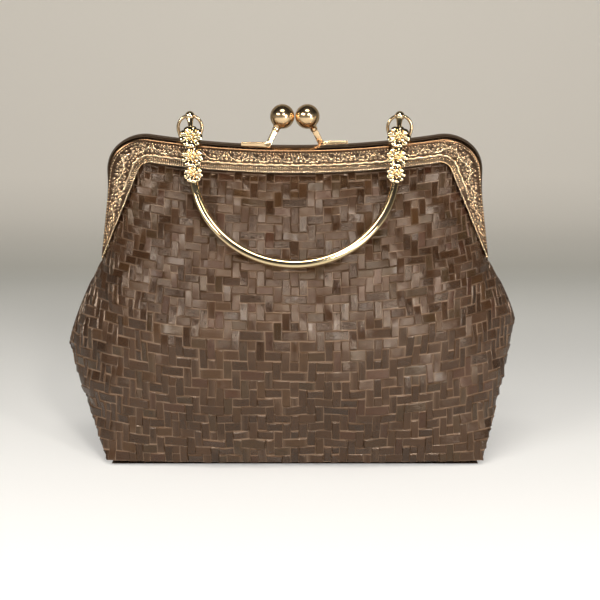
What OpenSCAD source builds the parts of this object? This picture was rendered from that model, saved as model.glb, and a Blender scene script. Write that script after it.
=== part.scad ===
// Woven-pattern frame bag with a ball clasp and a hinged U handle.
// Millimetres, standing on the floor: X is the width, the front faces -Y, Z is up.

/* [Bag] */
// Width of the flat base
base_width = 196; // [150:1:205]
// Depth of the flat base
base_depth = 68; // [50:1:90]
// Width of the bag at its widest place
belly_width = 240; // [214:1:270]
// Height of the widest place above the floor
belly_height = 65; // [50:1:75]
// Depth of the bag at its fullest place
belly_depth = 106; // [84:1:120]
// Thickness of the leather
leather = 1.8; // [1.4:0.1:2]
// Thickness of the lining
lining = 0.8; // [0.6:0.1:0.9]
// Thickness of the stiff board inside the base
board = 1.6; // [1:0.1:2]
// Share of the height where the side edge stays rounded below the belly
edge_round_share = 0.95; // [0.6:0.05:1]
// Power of the side edge between the widest place and the hinge
upper_round_share = 1.3; // [1:0.05:2]
// Share that says how boxy the bag is across its width
boxy_share = 2.6; // [2:0.1:4]

/* [Weave] */
// Strips that stand side by side across the front
strip_columns = 35; // [21:2:41]
// Strips that lie one above the other on the front
strip_rows = 24; // [16:1:28]
// Height of a raised strip above its groove
strip_relief = 1.2; // [0.5:0.1:1.4]

/* [Frame] */
// Outer width of the frame at its hinges
frame_width = 205; // [195:1:212]
// Height of the hinge axis above the floor
hinge_height = 106.5; // [98:0.5:112]
// Height of the frame's top at the middle
frame_height = 162.2; // [156:0.1:172]
// Radius of the shallow sweep along the frame's top
sweep_radius = 514; // [400:1:800]
// Radius of the frame's upper corners
corner_radius = 18; // [14:0.5:22]
// Degrees that the frame's sides lean inwards
side_lean = 7.4; // [4:0.1:9]
// Height of the frame's face
face_height = 10.5; // [8:0.1:13]
// Degrees that the inner edge of the side arms leans
arm_lean = 23.5; // [20:0.1:26]
// Radius of the inner corners of the face
inner_corner_radius = 6; // [4:0.1:8]
// Depth of one half of the frame
half_depth = 8; // [7.6:0.1:10]
// Thickness of the frame's sheet metal
sheet = 0.9; // [0.7:0.1:1]
// Height of the raised lines on the frame's face
line_relief = 0.4; // [0.2:0.05:0.6]
// Width of the raised lines on the frame's face
line_width = 0.8; // [0.5:0.1:1.2]
// Radius of the round ears at the hinges
ear_radius = 3.8; // [3:0.1:4.5]
// Radius of the hinge rivet's shank
rivet_radius = 1; // [0.8:0.05:1.3]
// Radius of the hinge rivet's head
rivet_head_radius = 2.2; // [1.8:0.1:2.8]

/* [Clasp] */
// Diameter of the clasp balls
clasp_ball = 12.8; // [10:0.1:15]
// Height of the clasp balls' centres above the frame's top
clasp_rise = 18.3; // [14:0.1:24]
// Length of the clasp's foot
clasp_foot_length = 11; // [8:0.5:14]
// Width of the clasp's foot
clasp_foot_width = 5; // [4:0.1:6]
// Thickness of the clasp's foot
clasp_foot_thickness = 1.4; // [1:0.1:2]
// Diameter of the clasp's arm
clasp_arm = 2.6; // [2:0.1:3.4]
// Distance from the middle to the outer end of the clasp's foot
clasp_reach = 28; // [25:0.5:32]

/* [Handle] */
// Distance from the middle to each handle loop
loop_offset = 54.6; // [50:0.1:60]
// Radius of the bend of the handle loops
loop_radius = 6.2; // [5.5:0.1:7.5]
// Diameter of the loops' wire
loop_wire = 1.7; // [1.4:0.1:2]
// Height of the loops' tops above the frame's top
loop_rise = 19.1; // [17:0.1:22]
// Length of the handle from its hinge to its lowest place
handle_length = 81; // [70:0.5:84]
// Radius of the handle's bend
handle_radius = 52; // [48:0.5:53]
// Diameter of the handle's bar
handle_bar = 4.2; // [3.6:0.1:5]
// Gap between the resting handle's bar and the strips
handle_gap = 0.5; // [0.4:0.1:2]
// Diameter of the balls at the handle's ends
handle_ball = 5.2; // [5:0.1:6.4]
// Diameter of the largest flower
flower = 11.4; // [9:0.1:12.5]

/* [Hidden] */
// Smoothness of the round pieces
$fn = 96;
// Nothing of a length
none = 0;
// Degrees of a whole turn
turn = 360;
// Gap between pieces of one body
gap = 0.3;
// Gap between pieces that only touch
touch = 0.1;
// Extra radius that lets round corners cross their straight sides
ease = 0.02;
// Extra depth for cutters
over = 40;
// Clearance of a pin in its hole
running = 0.05;
// Half of the frame's width
frame_half = frame_width / 2;
// Half of the base's width
base_half = base_width / 2;
// Half of the belly's width
belly_half = belly_width / 2;
// Height of the centre of the sweep
sweep_centre = frame_height + sweep_radius;
// Depth of the leather's face inside the frame's channel
channel_face = half_depth - sheet - gap;
// Depth of the leather's back inside the frame's channel
channel_back = channel_face - leather + gap;
// Width that the side arms keep at their tips
arm_tip = 0.6;
// Half of the thickness of the side seams
seam_half = leather + gap;
// Depth of the inner wall of the frame's channel
inner_wall = channel_back - lining - gap - gap;
// Depth that the leather measures along Y on its slopes
slope_leather = leather + gap + touch;
// Radius of the notch around the hinges
notch_radius = half_depth - gap - touch;
// Length of the notch around the hinges
notch_reach = 7.5;
// Height over which the seam opens into the channel
seam_run = 9;
// Shares of the height and of the depth along the middle of the front
belly_shares = [[0, 0.6415], [0.154, 0.858], [0.308, 0.981], [0.382, 1], [0.493, 0.953],
    [0.617, 0.83], [0.74, 0.623], [0.851, 0.396], [0.912, 0.22], [0.935, 0.12], [2, 0.12]];
// Shares of the rows and of the height that each row reaches
row_shares = [[0, -0.006], [0.152, 0.152], [0.294, 0.303], [0.361, 0.376], [0.461, 0.485],
    [0.577, 0.606], [0.703, 0.727], [0.823, 0.836], [0.912, 0.909], [0.95, 0.945], [1, 1.02]];
// Shares of the width where the plain inner sides are measured
inner_x_shares = [-1.01, -0.967, -0.927, -0.88, -0.82, -0.74, -0.58, -0.36, -0.12,
    0.12, 0.36, 0.58, 0.74, 0.82, 0.88, 0.927, 0.967, 1.01];
// Shares of the height where the plain inner sides are measured
inner_z_shares = [-0.03, 0.06, 0.154, 0.24, 0.308, 0.382, 0.44, 0.493, 0.555, 0.617, 0.68, 0.74, 0.8, 0.851,
    0.9, 0.95, 1.04];
// Shares of the belly's height where the side edge is drawn
low_edge_shares = [0, 0.06, 0.14, 0.24, 0.36, 0.5, 0.66, 0.82, 1];
// Shares of the way from the belly to the hinge where the side edge is drawn
high_edge_shares = [0.15, 0.3, 0.45, 0.6, 0.75, 0.88, 1];
// Shares of a quarter turn where the leather's upper corners are drawn
corner_shares = [0, 0.2, 0.4, 0.6, 0.8, 1];
// Shares of the half width where the leather's upper edge is drawn
top_shares = [0.7, 0.55, 0.4, 0.25, 0.1];
// Height between the sheet and the upper edge of the leather
edge_drop = 1.6;
// Height where the half tops are shared out
top_height = frame_height + half_depth;
// Radius of the flower's lobes as a share of its diameter
lobe_share = 0.17;
// Distance of the flower's lobes from its middle as a share
lobe_place_share = 0.335;
// Thickness of a flower as a share of its diameter
flower_thick_share = 0.3;
// Inner ring of petals as a share of the flower's diameter
inner_petal_share = 0.66;
// Button of a flower as a share of its diameter
button_share = 0.16;
// Lobes on each flower
lobes = 8;
// Places of the flowers along the handle as shares of its length
flower_shares = [0.15, 0.283, 0.395];
// Sizes of the flowers as shares of the largest
flower_size_shares = [1, 0.92, 0.8];
// Radius of the handle's stems as a share of its bar
stem_share = 0.36;
// Pivot height of the handle
pivot_height = frame_height + loop_rise - gap;
// Pivot depth of the handle
pivot_depth = half_depth / 2 + gap + gap - touch;
// Degrees that the loop bends past a half turn on each side
loop_past = 15;
// Bore through the handle's end balls
ball_bore = loop_wire / 2 + gap + gap;
// Shift of an ear from the outer side of the frame
ear_outer = frame_half - touch - touch;
// Thickness of an ear
ear = sheet + gap + touch;
// Inner side of the front ears
ear_inner = ear_outer - ear;
// Outer side of the back ears
back_ear_outer = ear_inner - gap - touch;
// Inner side of the back ears
back_ear_inner = back_ear_outer - ear;
// Thickness of the rivet's heads
rivet_head = 0.9;
// Distance of the clasp balls from the middle
clasp_offset = clasp_ball / 2 + gap / 2;
// Height of the clasp balls' centres
clasp_height = frame_height + clasp_rise;
// Height of the under side of the clasp's feet
clasp_floor = frame_height + pow(clasp_reach, 2) / (2 * sweep_radius) + touch;
// Depth of a clasp ball's bore as a share of its diameter
clasp_bore_share = 0.36;
// Share of a clasp's arm that is let into its foot
foot_sink_share = 0.1;
// Raised lines on the face, measured from the inner edge
line_places = [touch, face_height * 0.34];
// Leather that stays clear behind the face
face_clear = gap + touch;
// Narrower inner wall of the channel
wall_short = 2.6;
// Cutters that pass beyond the inner grid
grow = 3;
// Delay of the inner side's bulge beside the frame
delay = 8;
// Shares of the height where that delay starts and how long it takes to grow
late_shares = [0.72, 0.16];
// Share of that delay at the sides below the frame
side_late_share = 0.25;
// Share of the width beside the edges where the relief fades
fade_share = 0.05;
// Share of the inset that is kept at the hinges
hinge_inset_share = 0.4;
// Rounds of drawing that settle the handle on the leather
settle_rounds = 8;
// Height of the lining's base
lining_floor = leather + gap + board + gap;

// Side normal and direction for a leaning side
function lean_out(a) = [cos(a), sin(a)];
function lean_up(a) = [-sin(a), cos(a)];

// Centre of the corner that touches a leaning side and the sweep
function corner_centre(foot, lean, r, sweep) =
    let (start = foot - r * lean_out(lean),
        away = start - [0, sweep_centre],
        b = away * lean_up(lean),
        c = away * away - pow(sweep + r, 2))
    start + (-b - sqrt(b * b - c)) * lean_up(lean);

// Rise of the frame's top above its middle
function rise(x) = sweep_radius - sqrt(pow(sweep_radius, 2) - x * x);

// Flat outline of an arch with leaning sides, round corners and a swept top
module arch(foot, lean, r, sweep, low) {
    c = corner_centre(foot, lean, r, sweep);
    side = c + r * lean_out(lean);
    up = [0, sweep_centre] - c;
    top = c + r * up / norm(up);
    low_x = foot[0] - (low - foot[1]) * tan(lean);
    difference() {
        union() {
            polygon([[-low_x, low], [low_x, low], side, top, [-top[0], top[1]], [-side[0], side[1]]]);
            translate(c) circle(r + ease);
            translate([-c[0], c[1]]) circle(r + ease);
        }
        translate([0, sweep_centre]) circle(sweep, $fn = 720);
    }
}

// Outline of the frame, drawn in from its outer edge
module frame_outline(inset, low) {
    foot = [frame_half, hinge_height] - inset * lean_out(side_lean);
    arch(foot, side_lean, corner_radius - inset, sweep_radius + inset, low);
}

// Opening of the frame's face, made larger by a length
module face_opening(larger) {
    foot = [frame_half - arm_tip, hinge_height] + larger * lean_out(arm_lean);
    arch(foot, arm_lean, inner_corner_radius + larger, sweep_radius + face_height - larger, none);
}

// Flat face of the frame
module face_flat() {
    difference() {
        frame_outline(none, hinge_height + sheet);
        face_opening(none);
    }
}

// Raised lines along the edges of the frame's face
module raised_lines() {
    low = hinge_height + notch_reach;
    difference() {
        frame_outline(touch, low);
        frame_outline(touch + line_width, none);
    }
    for (place = line_places) intersection() {
        frame_outline(touch, low);
        difference() {
            face_opening(place + line_width);
            face_opening(place);
        }
    }
}

// Turns a flat drawing into a slab between two depths in front of the middle
module slab(near, far) {
    translate([0, -near, 0]) rotate([90, 0, 0]) linear_extrude(height = far - near) children();
}

// Round bar along X between two places
module along_x(from, to, r) {
    translate([from, 0, 0]) rotate([0, 90, 0]) cylinder(h = to - from, r = r);
}

// Both sides of a piece that is alike on the left and the right
module both_sides() {
    children();
    mirror([1, 0, 0]) children();
}

// Round bar from one place to another
module bar(from, to, r) {
    way = to - from;
    translate(from) rotate([0, acos(way[2] / norm(way)), atan2(way[1], way[0])])
        cylinder(h = norm(way), r = r);
}

// One half of the frame without its hinge ears
module half_frame() {
    slab(half_depth - sheet, half_depth) face_flat();
    slab(touch, half_depth) difference() {
        frame_outline(none, hinge_height + sheet);
        frame_outline(sheet, none);
    }
    slab(inner_wall - sheet, inner_wall) difference() {
        frame_outline(sheet / 2, hinge_height + sheet);
        face_opening(wall_short);
    }
    slab(half_depth - touch, half_depth + line_relief) raised_lines();
}

// Wire of one handle loop at the right side
module loop_wire_shape(extra) {
    centre = frame_height + loop_rise - loop_radius;
    ends = [for (s = [-1, 1]) [s * loop_radius * cos(loop_past), 0, -loop_radius * sin(loop_past)]];
    foot_z = frame_height + rise(loop_offset) - sheet - gap - centre;
    translate([loop_offset, -pivot_depth, centre]) {
        rotate([90, 0, 0]) rotate([0, 0, -loop_past]) rotate_extrude(angle = 180 + 2 * loop_past)
            translate([loop_radius, 0]) circle(loop_wire / 2 + extra, $fn = 32);
        for (e = ends) {
            drop = e[2] - foot_z;
            bar([e[0] - sign(e[0]) * drop * tan(loop_past), 0, foot_z], e, loop_wire / 2 + extra);
        }
    }
}

// Half width of the bag's side edge at a height
function edge_half(z) = z < belly_height
    ? base_half + (belly_half - base_half) * pow(max(z, 0) / belly_height, edge_round_share)
    : belly_half - (belly_half - frame_half)
        * pow((z - belly_height) / (hinge_height - belly_height), upper_round_share);

// Half depth of the bag's side edge at a height
function edge_depth(z) = z < belly_height
    ? seam_half + (base_depth / 2 - seam_half) * (1 - max(z, 0) / belly_height)
    : seam_half + (channel_face - seam_half) * max(0, min(1, (z - hinge_height + seam_run) / seam_run));

// Half width of the bulging part at a height
function bulge_half(z, late) =
    let (up = max(0, min(1, (z - hinge_height + seam_run) / seam_run)),
        inside = frame_half - arm_tip - face_clear - (z - hinge_height) * tan(arm_lean))
    z < hinge_height - seam_run
        ? edge_half(z) - late * side_late_share
        : (1 - up) * edge_half(min(z, hinge_height)) + up * inside
            - late * (side_late_share + up * (1 - side_late_share));

// Share of the bulge across the width
function bulge_share(x, z, late) =
    let (s = abs(x) / bulge_half(z, late))
    s >= 1 ? 0 : pow(1 - pow(s, boxy_share), 0.75);

// Height used for the middle line, so that the bulge follows the swept top
function swept_height(x, z) = z - rise(min(abs(x), frame_half)) * max(0, min(1, z / frame_height));

// Depth of the front at a place
function front_depth(x, z, late) =
    let (edge = edge_depth(z),
        near = max(0, min(1, (z / frame_height - late_shares[0]) / late_shares[1])),
        place = (swept_height(x, z) + late * near) / frame_height,
        middle = belly_depth / 2 * lookup(place, belly_shares))
    edge + max(0, middle - edge) * bulge_share(x, z, late);

// Degrees that the handle leans when its lowest place stops in front of a height
function lean_before(z) =
    let (front = front_depth(none, z, none) + strip_relief + handle_gap)
    asin((front + handle_bar / 2 - pivot_depth) / handle_length);

// Degrees that the handle leans when it lies on the front
function settled_lean(rounds, lean) =
    rounds == 0 ? lean : settled_lean(rounds - 1, lean_before(pivot_height - handle_length * cos(lean)));

// Share of the relief at a place, fading beside the edges and at the base
function relief_share(x, z) =
    let (side = (1 - abs(x) / bulge_half(z, none)) / fade_share,
        foot = z / (fade_share * frame_height),
        top = (frame_height - face_height - swept_height(x, z)) / face_height)
    max(0, min(1, side, foot, top));

// Depth of the leather's inner side at a place
function inner_depth(x, z) =
    let (full = front_depth(x, z, delay),
        thick = full > channel_face + slope_leather ? slope_leather : channel_face - channel_back)
    full - thick;

// Weave: true where the lying strip is on top
function point_step(c) =
    let (m = (c % 10 + 10) % 10)
    min(m, 10 - m);
function lying(i, j) =
    let (phase = (strip_rows - 1 - j + point_step(i - (strip_columns - 1) / 2 + 5)) % 4)
    phase < 2;
function run_across(i, j) = i < strip_columns && lying(i, j) ? 1 + run_across(i + 1, j) : 0;
function run_up(i, j) = j < strip_rows && !lying(i, j) ? 1 + run_up(i, j + 1) : 0;

// Every visible run of a strip as column, row, width and height
floats = [for (j = [0:strip_rows - 1]) for (i = [0:strip_columns - 1])
    let (across = lying(i, j) && (i == 0 || !lying(i - 1, j)) ? run_across(i, j) : 0,
        up = !lying(i, j) && (j == 0 || lying(i, j - 1)) ? run_up(i, j) : 0)
    if (across > 0 || up > 0) [i, j, max(across, 1), max(up, 1)]];

// Place of a grid line of the weave
function column_x(i) = (i / strip_columns * 2 - 1) * (belly_half + gap);
function row_z(j) = lookup(j / strip_rows, row_shares) * top_height;
function corner_index(i, j) = j * (strip_columns + 1) + i;

// Corners around a run, in turn
function around(f) = concat(
    [for (i = [0:f[2] - 1]) corner_index(f[0] + i, f[1])],
    [for (j = [0:f[3] - 1]) corner_index(f[0] + f[2], f[1] + j)],
    [for (i = [0:f[2] - 1]) corner_index(f[0] + f[2] - i, f[1] + f[3])],
    [for (j = [0:f[3] - 1]) corner_index(f[0], f[1] + f[3] - j)]);

// Solid behind the woven front, with one raised run for each strip that shows
module woven_field(back) {
    corners = [for (j = [0:strip_rows]) for (i = [0:strip_columns])
        [column_x(i), -front_depth(column_x(i), row_z(j), none), row_z(j)]];
    tops = [for (f = floats)
        let (ring = around(f),
            x = (column_x(f[0]) + column_x(f[0] + f[2])) / 2,
            z = (row_z(f[1]) + row_z(f[1] + f[3])) / 2,
            low = front_depth(x, z, none))
        [x, -low - strip_relief * relief_share(x, z), z]];
    x_end = column_x(strip_columns);
    backs = [[-x_end, back, row_z(0)], [x_end, back, row_z(0)],
        [x_end, back, row_z(strip_rows)], [-x_end, back, row_z(strip_rows)]];
    first_top = len(corners);
    b = first_top + len(tops);
    fans = [for (k = [0:len(floats) - 1])
        let (ring = around(floats[k]))
        for (n = [0:len(ring) - 1]) [first_top + k, ring[(n + 1) % len(ring)], ring[n]]];
    walls = [
        concat([for (i = [0:strip_columns]) corner_index(i, 0)], [b + 1, b]),
        concat([for (i = [0:strip_columns]) corner_index(strip_columns - i, strip_rows)], [b + 3, b + 2]),
        concat([b, b + 3], [for (j = [0:strip_rows]) corner_index(0, strip_rows - j)]),
        concat([for (j = [0:strip_rows]) corner_index(strip_columns, j)], [b + 2, b + 1]),
        [b, b + 1, b + 2, b + 3]];
    polyhedron(concat(corners, tops, backs), concat(fans, walls), convexity = 6);
}

// Solid behind the plain inner side of the leather, drawn in by a length
module inner_field(inset, back) {
    xs = inner_x_shares * belly_half;
    zs = inner_z_shares * frame_height;
    wide = len(xs);
    tall = len(zs);
    points = [for (z = zs) for (x = xs) [x, -inner_depth(x, z) + inset, z]];
    b = len(points);
    backs = [[xs[0], back, zs[0]], [xs[wide - 1], back, zs[0]],
        [xs[wide - 1], back, zs[tall - 1]], [xs[0], back, zs[tall - 1]]];
    fronts = [for (j = [0:tall - 2]) for (i = [0:wide - 2])
        let (k = j * wide + i)
        each [[k, k + wide, k + 1], [k + 1, k + wide, k + wide + 1]]];
    walls = [
        concat([for (i = [0:wide - 1]) i], [b + 1, b]),
        concat([for (i = [0:wide - 1]) tall * wide - 1 - i], [b + 3, b + 2]),
        concat([b, b + 3], [for (j = [0:tall - 1]) (tall - 1 - j) * wide]),
        concat([for (j = [0:tall - 1]) j * wide + wide - 1], [b + 2, b + 1]),
        [b, b + 1, b + 2, b + 3]];
    polyhedron(concat(points, backs), concat(fronts, walls), convexity = 6);
}

// Right side of the bag's outline from the base to the top
function right_edge(inset, floor_z, larger, drop) =
    let (in_frame = sheet + gap + gap - larger,
        foot = [frame_half, hinge_height] - in_frame * lean_out(side_lean),
        c = corner_centre([frame_half, hinge_height], side_lean, corner_radius, sweep_radius),
        r = corner_radius - in_frame - drop)
    concat(
        [for (s = low_edge_shares)
            let (z = floor_z + s * (belly_height - floor_z))
            [edge_half(z) - inset, z]],
        [for (s = high_edge_shares)
            let (z = belly_height + s * (hinge_height - belly_height))
            [edge_half(z) - (1 - s) * inset - s * (in_frame + inset * hinge_inset_share), z]],
        [for (s = corner_shares)
            c + r * [cos(side_lean + s * (90 - side_lean)), sin(side_lean + s * (90 - side_lean))]],
        [for (s = top_shares)
            [s * frame_half, frame_height + rise(s * frame_half) - in_frame - drop]]);

// Outline of the bag seen from the front
module bag_outline(inset, floor_z, larger, drop) {
    right = right_edge(inset, floor_z, larger, drop);
    last = len(right) - 1;
    polygon(concat(right, [for (i = [0:last]) [-right[last - i][0], right[last - i][1]]]));
}

// Space around the hinges that the soft pieces leave free
module hinge_notches() {
    both_sides() translate([0, 0, hinge_height])
        along_x(frame_half - notch_reach, frame_half + over, notch_radius);
}

// Space of the frame's face that the soft pieces leave free
module face_space() {
    slab(channel_face + touch, belly_depth) difference() {
        frame_outline(-grow, hinge_height + sheet - gap);
        face_opening(-face_clear);
    }
}

// Front wall of the bag with its half of the sides and the base
module panel() {
    resize([belly_width, none, none]) difference() {
        intersection() {
            slab(touch, belly_depth) bag_outline(none, none, none, edge_drop - gap);
            woven_field(over);
        }
        intersection() {
            slab(-over, belly_depth) bag_outline(leather, leather, grow, none);
            inner_field(none, over);
        }
        hinge_notches();
        face_space();
    }
}

// Front half of the lining
module lining_half() {
    side = leather + gap;
    resize([belly_width - 2 * side, none, none]) difference() {
        intersection() {
            slab(touch, belly_depth) bag_outline(side, lining_floor, none, edge_drop);
            inner_field(gap, over);
        }
        intersection() {
            slab(-over, belly_depth) bag_outline(side + lining, lining_floor + lining, grow, none);
            inner_field(gap + lining, over);
        }
        hinge_notches();
    }
}

// Foot and arm of the front clasp
module clasp_arm_shape() {
    low = [-clasp_reach + clasp_foot_length - clasp_arm / 2, -half_depth / 2, clasp_floor];
    ball = [-clasp_offset, 0, clasp_height];
    translate([-clasp_reach, -half_depth / 2 - clasp_foot_width / 2, clasp_floor])
        cube([clasp_foot_length, clasp_foot_width, clasp_foot_thickness]);
    difference() {
        bar(low - (ball - low) * foot_sink_share, ball, clasp_arm / 2);
        translate([-clasp_reach, -half_depth, clasp_floor - over]) cube([clasp_reach, half_depth, over]);
    }
}

// Ball of the front clasp on its arm
module clasp_ball_shape() {
    ball = [-clasp_offset, 0, clasp_height];
    low = [-clasp_reach + clasp_foot_length - clasp_arm / 2, -half_depth / 2, clasp_floor];
    way = (low - ball) / norm(low - ball);
    difference() {
        translate(ball) sphere(clasp_ball / 2);
        bar(ball - way * touch, ball + way * clasp_ball, clasp_arm / 2 + running);
    }
}

// Turns a clasp piece round to the back half
module to_back() {
    rotate([0, 0, 180]) children();
}

// Flat ring of petals
module petals(d) {
    circle(d * lobe_place_share);
    for (k = [0:lobes - 1]) rotate(k * turn / lobes)
        translate([d * lobe_place_share, 0]) circle(d * lobe_share);
}

// Flower with two rings of petals and a button, facing forward
module flower_shape(d) {
    thick = d * flower_thick_share;
    rotate([90, 0, 0]) {
        translate([0, 0, -thick / 2]) linear_extrude(height = thick) petals(d);
        translate([0, 0, -thick / 2]) linear_extrude(height = thick * 1.5)
            rotate(turn / lobes / 2) petals(d * inner_petal_share);
        translate([0, 0, thick]) sphere(d * button_share);
    }
}

// Hinge rivet at the right side
module rivet_shape() {
    translate([0, 0, hinge_height]) {
        along_x(back_ear_inner - gap - rivet_head, ear_outer + rivet_head + touch, rivet_radius);
        along_x(ear_outer + touch, ear_outer + touch + rivet_head, rivet_head_radius);
        along_x(back_ear_inner - gap - rivet_head, back_ear_inner - gap, rivet_head_radius);
    }
}

module front_panel() {
    color("#4a2c20") panel();
}

module back_panel() {
    color("#4a2c20") mirror([0, 1, 0]) panel();
}

module front_lining() {
    color("#8a6f55") lining_half();
}

module back_lining() {
    color("#8a6f55") mirror([0, 1, 0]) lining_half();
}

module base_board() {
    wide = base_width - 2 * leather - 2 * gap;
    deep = 2 * (edge_depth(leather + touch + board) - slope_leather - gap);
    color("#9b8a72") translate([-wide / 2, -deep / 2, leather + touch]) cube([wide, deep, board]);
}

module front_frame() {
    color("#c9a45c") difference() {
        union() {
            half_frame();
            both_sides() translate([0, 0, hinge_height]) along_x(ear_inner, ear_outer, ear_radius);
        }
        both_sides() translate([0, 0, hinge_height])
            along_x(frame_half - over, frame_half + over, rivet_radius + running);
        both_sides() loop_wire_shape(running);
    }
}

module back_frame() {
    strap = ear_radius + half_depth;
    color("#c9a45c") difference() {
        union() {
            difference() {
                mirror([0, 1, 0]) half_frame();
                both_sides() translate([0, 0, hinge_height])
                    along_x(ear_inner - gap, frame_half + over, ear_radius + gap + touch);
            }
            both_sides() translate([0, 0, hinge_height]) along_x(back_ear_inner, back_ear_outer, ear_radius);
            both_sides() translate([back_ear_inner, gap, hinge_height])
                cube([ear, half_depth / 2, strap]);
        }
        both_sides() translate([0, 0, hinge_height])
            along_x(frame_half - over, frame_half + over, rivet_radius + running);
    }
}

module right_hinge_rivet() {
    color("#d8b873") rivet_shape();
}

module left_hinge_rivet() {
    color("#d8b873") mirror([1, 0, 0]) rivet_shape();
}

module front_clasp_arm() {
    color("#c9a45c") clasp_arm_shape();
}

module front_clasp_ball() {
    color("#dcbf80") clasp_ball_shape();
}

module back_clasp_arm() {
    color("#c9a45c") to_back() clasp_arm_shape();
}

module back_clasp_ball() {
    color("#dcbf80") to_back() clasp_ball_shape();
}

module right_handle_loop() {
    color("#d8b873") loop_wire_shape(none);
}

module left_handle_loop() {
    color("#d8b873") mirror([1, 0, 0]) loop_wire_shape(none);
}

module handle() {
    bend_z = handle_radius - handle_length;
    start = asin((flower_shares[2] * handle_length + bend_z) / handle_radius);
    end = [handle_radius * cos(start), 0, -flower_shares[2] * handle_length];
    top = [loop_offset, 0, 0];
    lean = settled_lean(settle_rounds, none);
    color("#d8b873") translate([0, -pivot_depth, pivot_height]) rotate([-lean, 0, 0]) difference() {
        union() {
            translate([0, 0, bend_z]) rotate([90, 0, 0]) rotate([0, 0, 180 + start])
                rotate_extrude(angle = 180 - 2 * start) translate([handle_radius, 0]) circle(handle_bar / 2);
            both_sides() {
                translate(top) sphere(handle_ball / 2);
                bar(top, end, handle_bar * stem_share);
                for (k = [0:len(flower_shares) - 1])
                    translate(top + (end - top) * flower_shares[k] / flower_shares[2])
                        flower_shape(flower * flower_size_shares[k]);
            }
        }
        both_sides() translate(top) along_x(-handle_ball, handle_ball, ball_bore);
    }
}

front_panel();
back_panel();
front_lining();
back_lining();
base_board();
front_frame();
back_frame();
left_hinge_rivet();
right_hinge_rivet();
front_clasp_arm();
front_clasp_ball();
back_clasp_arm();
back_clasp_ball();
left_handle_loop();
right_handle_loop();
handle();
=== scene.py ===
"""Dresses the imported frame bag: woven leather, lining, gilt frame, ball clasp and flowered handle."""
import logging
import math
from dataclasses import dataclass, field, replace
from enum import Enum

import bmesh
import bpy
import numpy as np
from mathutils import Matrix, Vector


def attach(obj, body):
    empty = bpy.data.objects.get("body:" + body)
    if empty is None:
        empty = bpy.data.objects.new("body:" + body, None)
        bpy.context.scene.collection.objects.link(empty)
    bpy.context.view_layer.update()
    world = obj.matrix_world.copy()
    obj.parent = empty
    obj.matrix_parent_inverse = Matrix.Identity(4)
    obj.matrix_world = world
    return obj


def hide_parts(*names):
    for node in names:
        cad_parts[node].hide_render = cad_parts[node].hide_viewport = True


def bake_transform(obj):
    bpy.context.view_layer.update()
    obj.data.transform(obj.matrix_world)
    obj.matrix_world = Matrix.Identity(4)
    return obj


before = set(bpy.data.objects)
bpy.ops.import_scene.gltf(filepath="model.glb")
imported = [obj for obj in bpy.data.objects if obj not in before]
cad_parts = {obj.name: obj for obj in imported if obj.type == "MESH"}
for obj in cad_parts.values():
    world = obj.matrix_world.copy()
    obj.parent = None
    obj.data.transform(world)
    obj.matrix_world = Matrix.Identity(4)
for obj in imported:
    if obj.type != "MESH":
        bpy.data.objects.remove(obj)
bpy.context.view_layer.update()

LOG = logging.getLogger("frame_bag")
Array = np.ndarray
Colour = tuple[float, float, float, float]
Place = tuple[float, float, float]
MM = 0.001
TURN = 2.0 * math.pi
ACROSS, DEEP, UP = np.eye(3)
HASH_STEPS = (12.9898, 78.233, 37.719)
HASH_SPREAD = 43758.5453


class NamedPart(Enum):
    """Part of the bag that the names of pieces start with."""

    @property
    def word(self) -> str:
        """Gives the word that the names of its pieces start with."""
        return self.name.lower()


class Half(NamedPart):
    """Half of the bag, with the sign of its depth."""

    FRONT = -1.0
    BACK = 1.0


class Side(NamedPart):
    """Side of the bag, with the sign of its width."""

    LEFT = -1.0
    RIGHT = 1.0


class Body(Enum):
    """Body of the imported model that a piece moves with."""

    BAG = "bag"
    BACK_HALF = "back_half"
    HANDLE = "handle"


class Slot(Enum):
    """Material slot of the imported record."""

    LEATHER = "leather"
    LINING = "lining"
    GILT = "gold_metal"


def ease(t: Array) -> Array:
    """Gives a smooth step from 0 to 1."""
    t = np.clip(t, 0.0, 1.0)
    return t * t * (3.0 - 2.0 * t)


def dome(t: Array) -> Array:
    """Gives the height of a half circle over -1 to 1, and 0 beyond it."""
    return np.sqrt(np.clip(1.0 - t**2, 0.0, 1.0))


def around(count: int) -> Array:
    """Gives evenly spaced angles once round a circle."""
    return np.linspace(0.0, TURN, count, endpoint=False)


def distances(path: Array) -> Array:
    """Gives how far along a path each of its points lies."""
    return np.concatenate([[0.0], np.cumsum(np.linalg.norm(np.diff(path, axis=0), axis=1))])


def directions(path: Array) -> Array:
    """Gives the direction of a path at each of its points."""
    along = np.gradient(path, axis=0)
    return along / np.linalg.norm(along, axis=1, keepdims=True)


def hashed(a: Array, b: Array, seed: int) -> Array:
    """Gives an even spread of numbers from 0 to 1 for pairs of whole numbers.

    Args:
        a: First whole numbers.
        b: Second whole numbers.
        seed: Number that tells one spread from another.

    Returns:
        One number for each pair.
    """
    n = np.sin(a * HASH_STEPS[0] + b * HASH_STEPS[1] + seed * HASH_STEPS[2]) * HASH_SPREAD
    return n - np.floor(n)


def ripple(x: Array, y: Array, size: float, seed: int) -> Array:
    """Gives soft, seeded waves between about -1 and 1.

    Args:
        x: First coordinate.
        y: Second coordinate.
        size: Length of the longest wave.
        seed: Number that tells one ripple from another.

    Returns:
        Height of the waves at each place.
    """
    waves, shorter, weaker, spread = 7, 0.35, 0.5, 2.6
    rng = np.random.default_rng(seed)
    total = np.zeros(np.broadcast(x, y).shape)
    for k in range(waves):
        angle = rng.uniform(0.0, TURN)
        phase = rng.uniform(0.0, TURN)
        wave = TURN / (size / (1.0 + shorter * k))
        total += np.sin(wave * (x * math.cos(angle) + y * math.sin(angle)) + phase) / (1.0 + weaker * k)
    return total / spread


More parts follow.
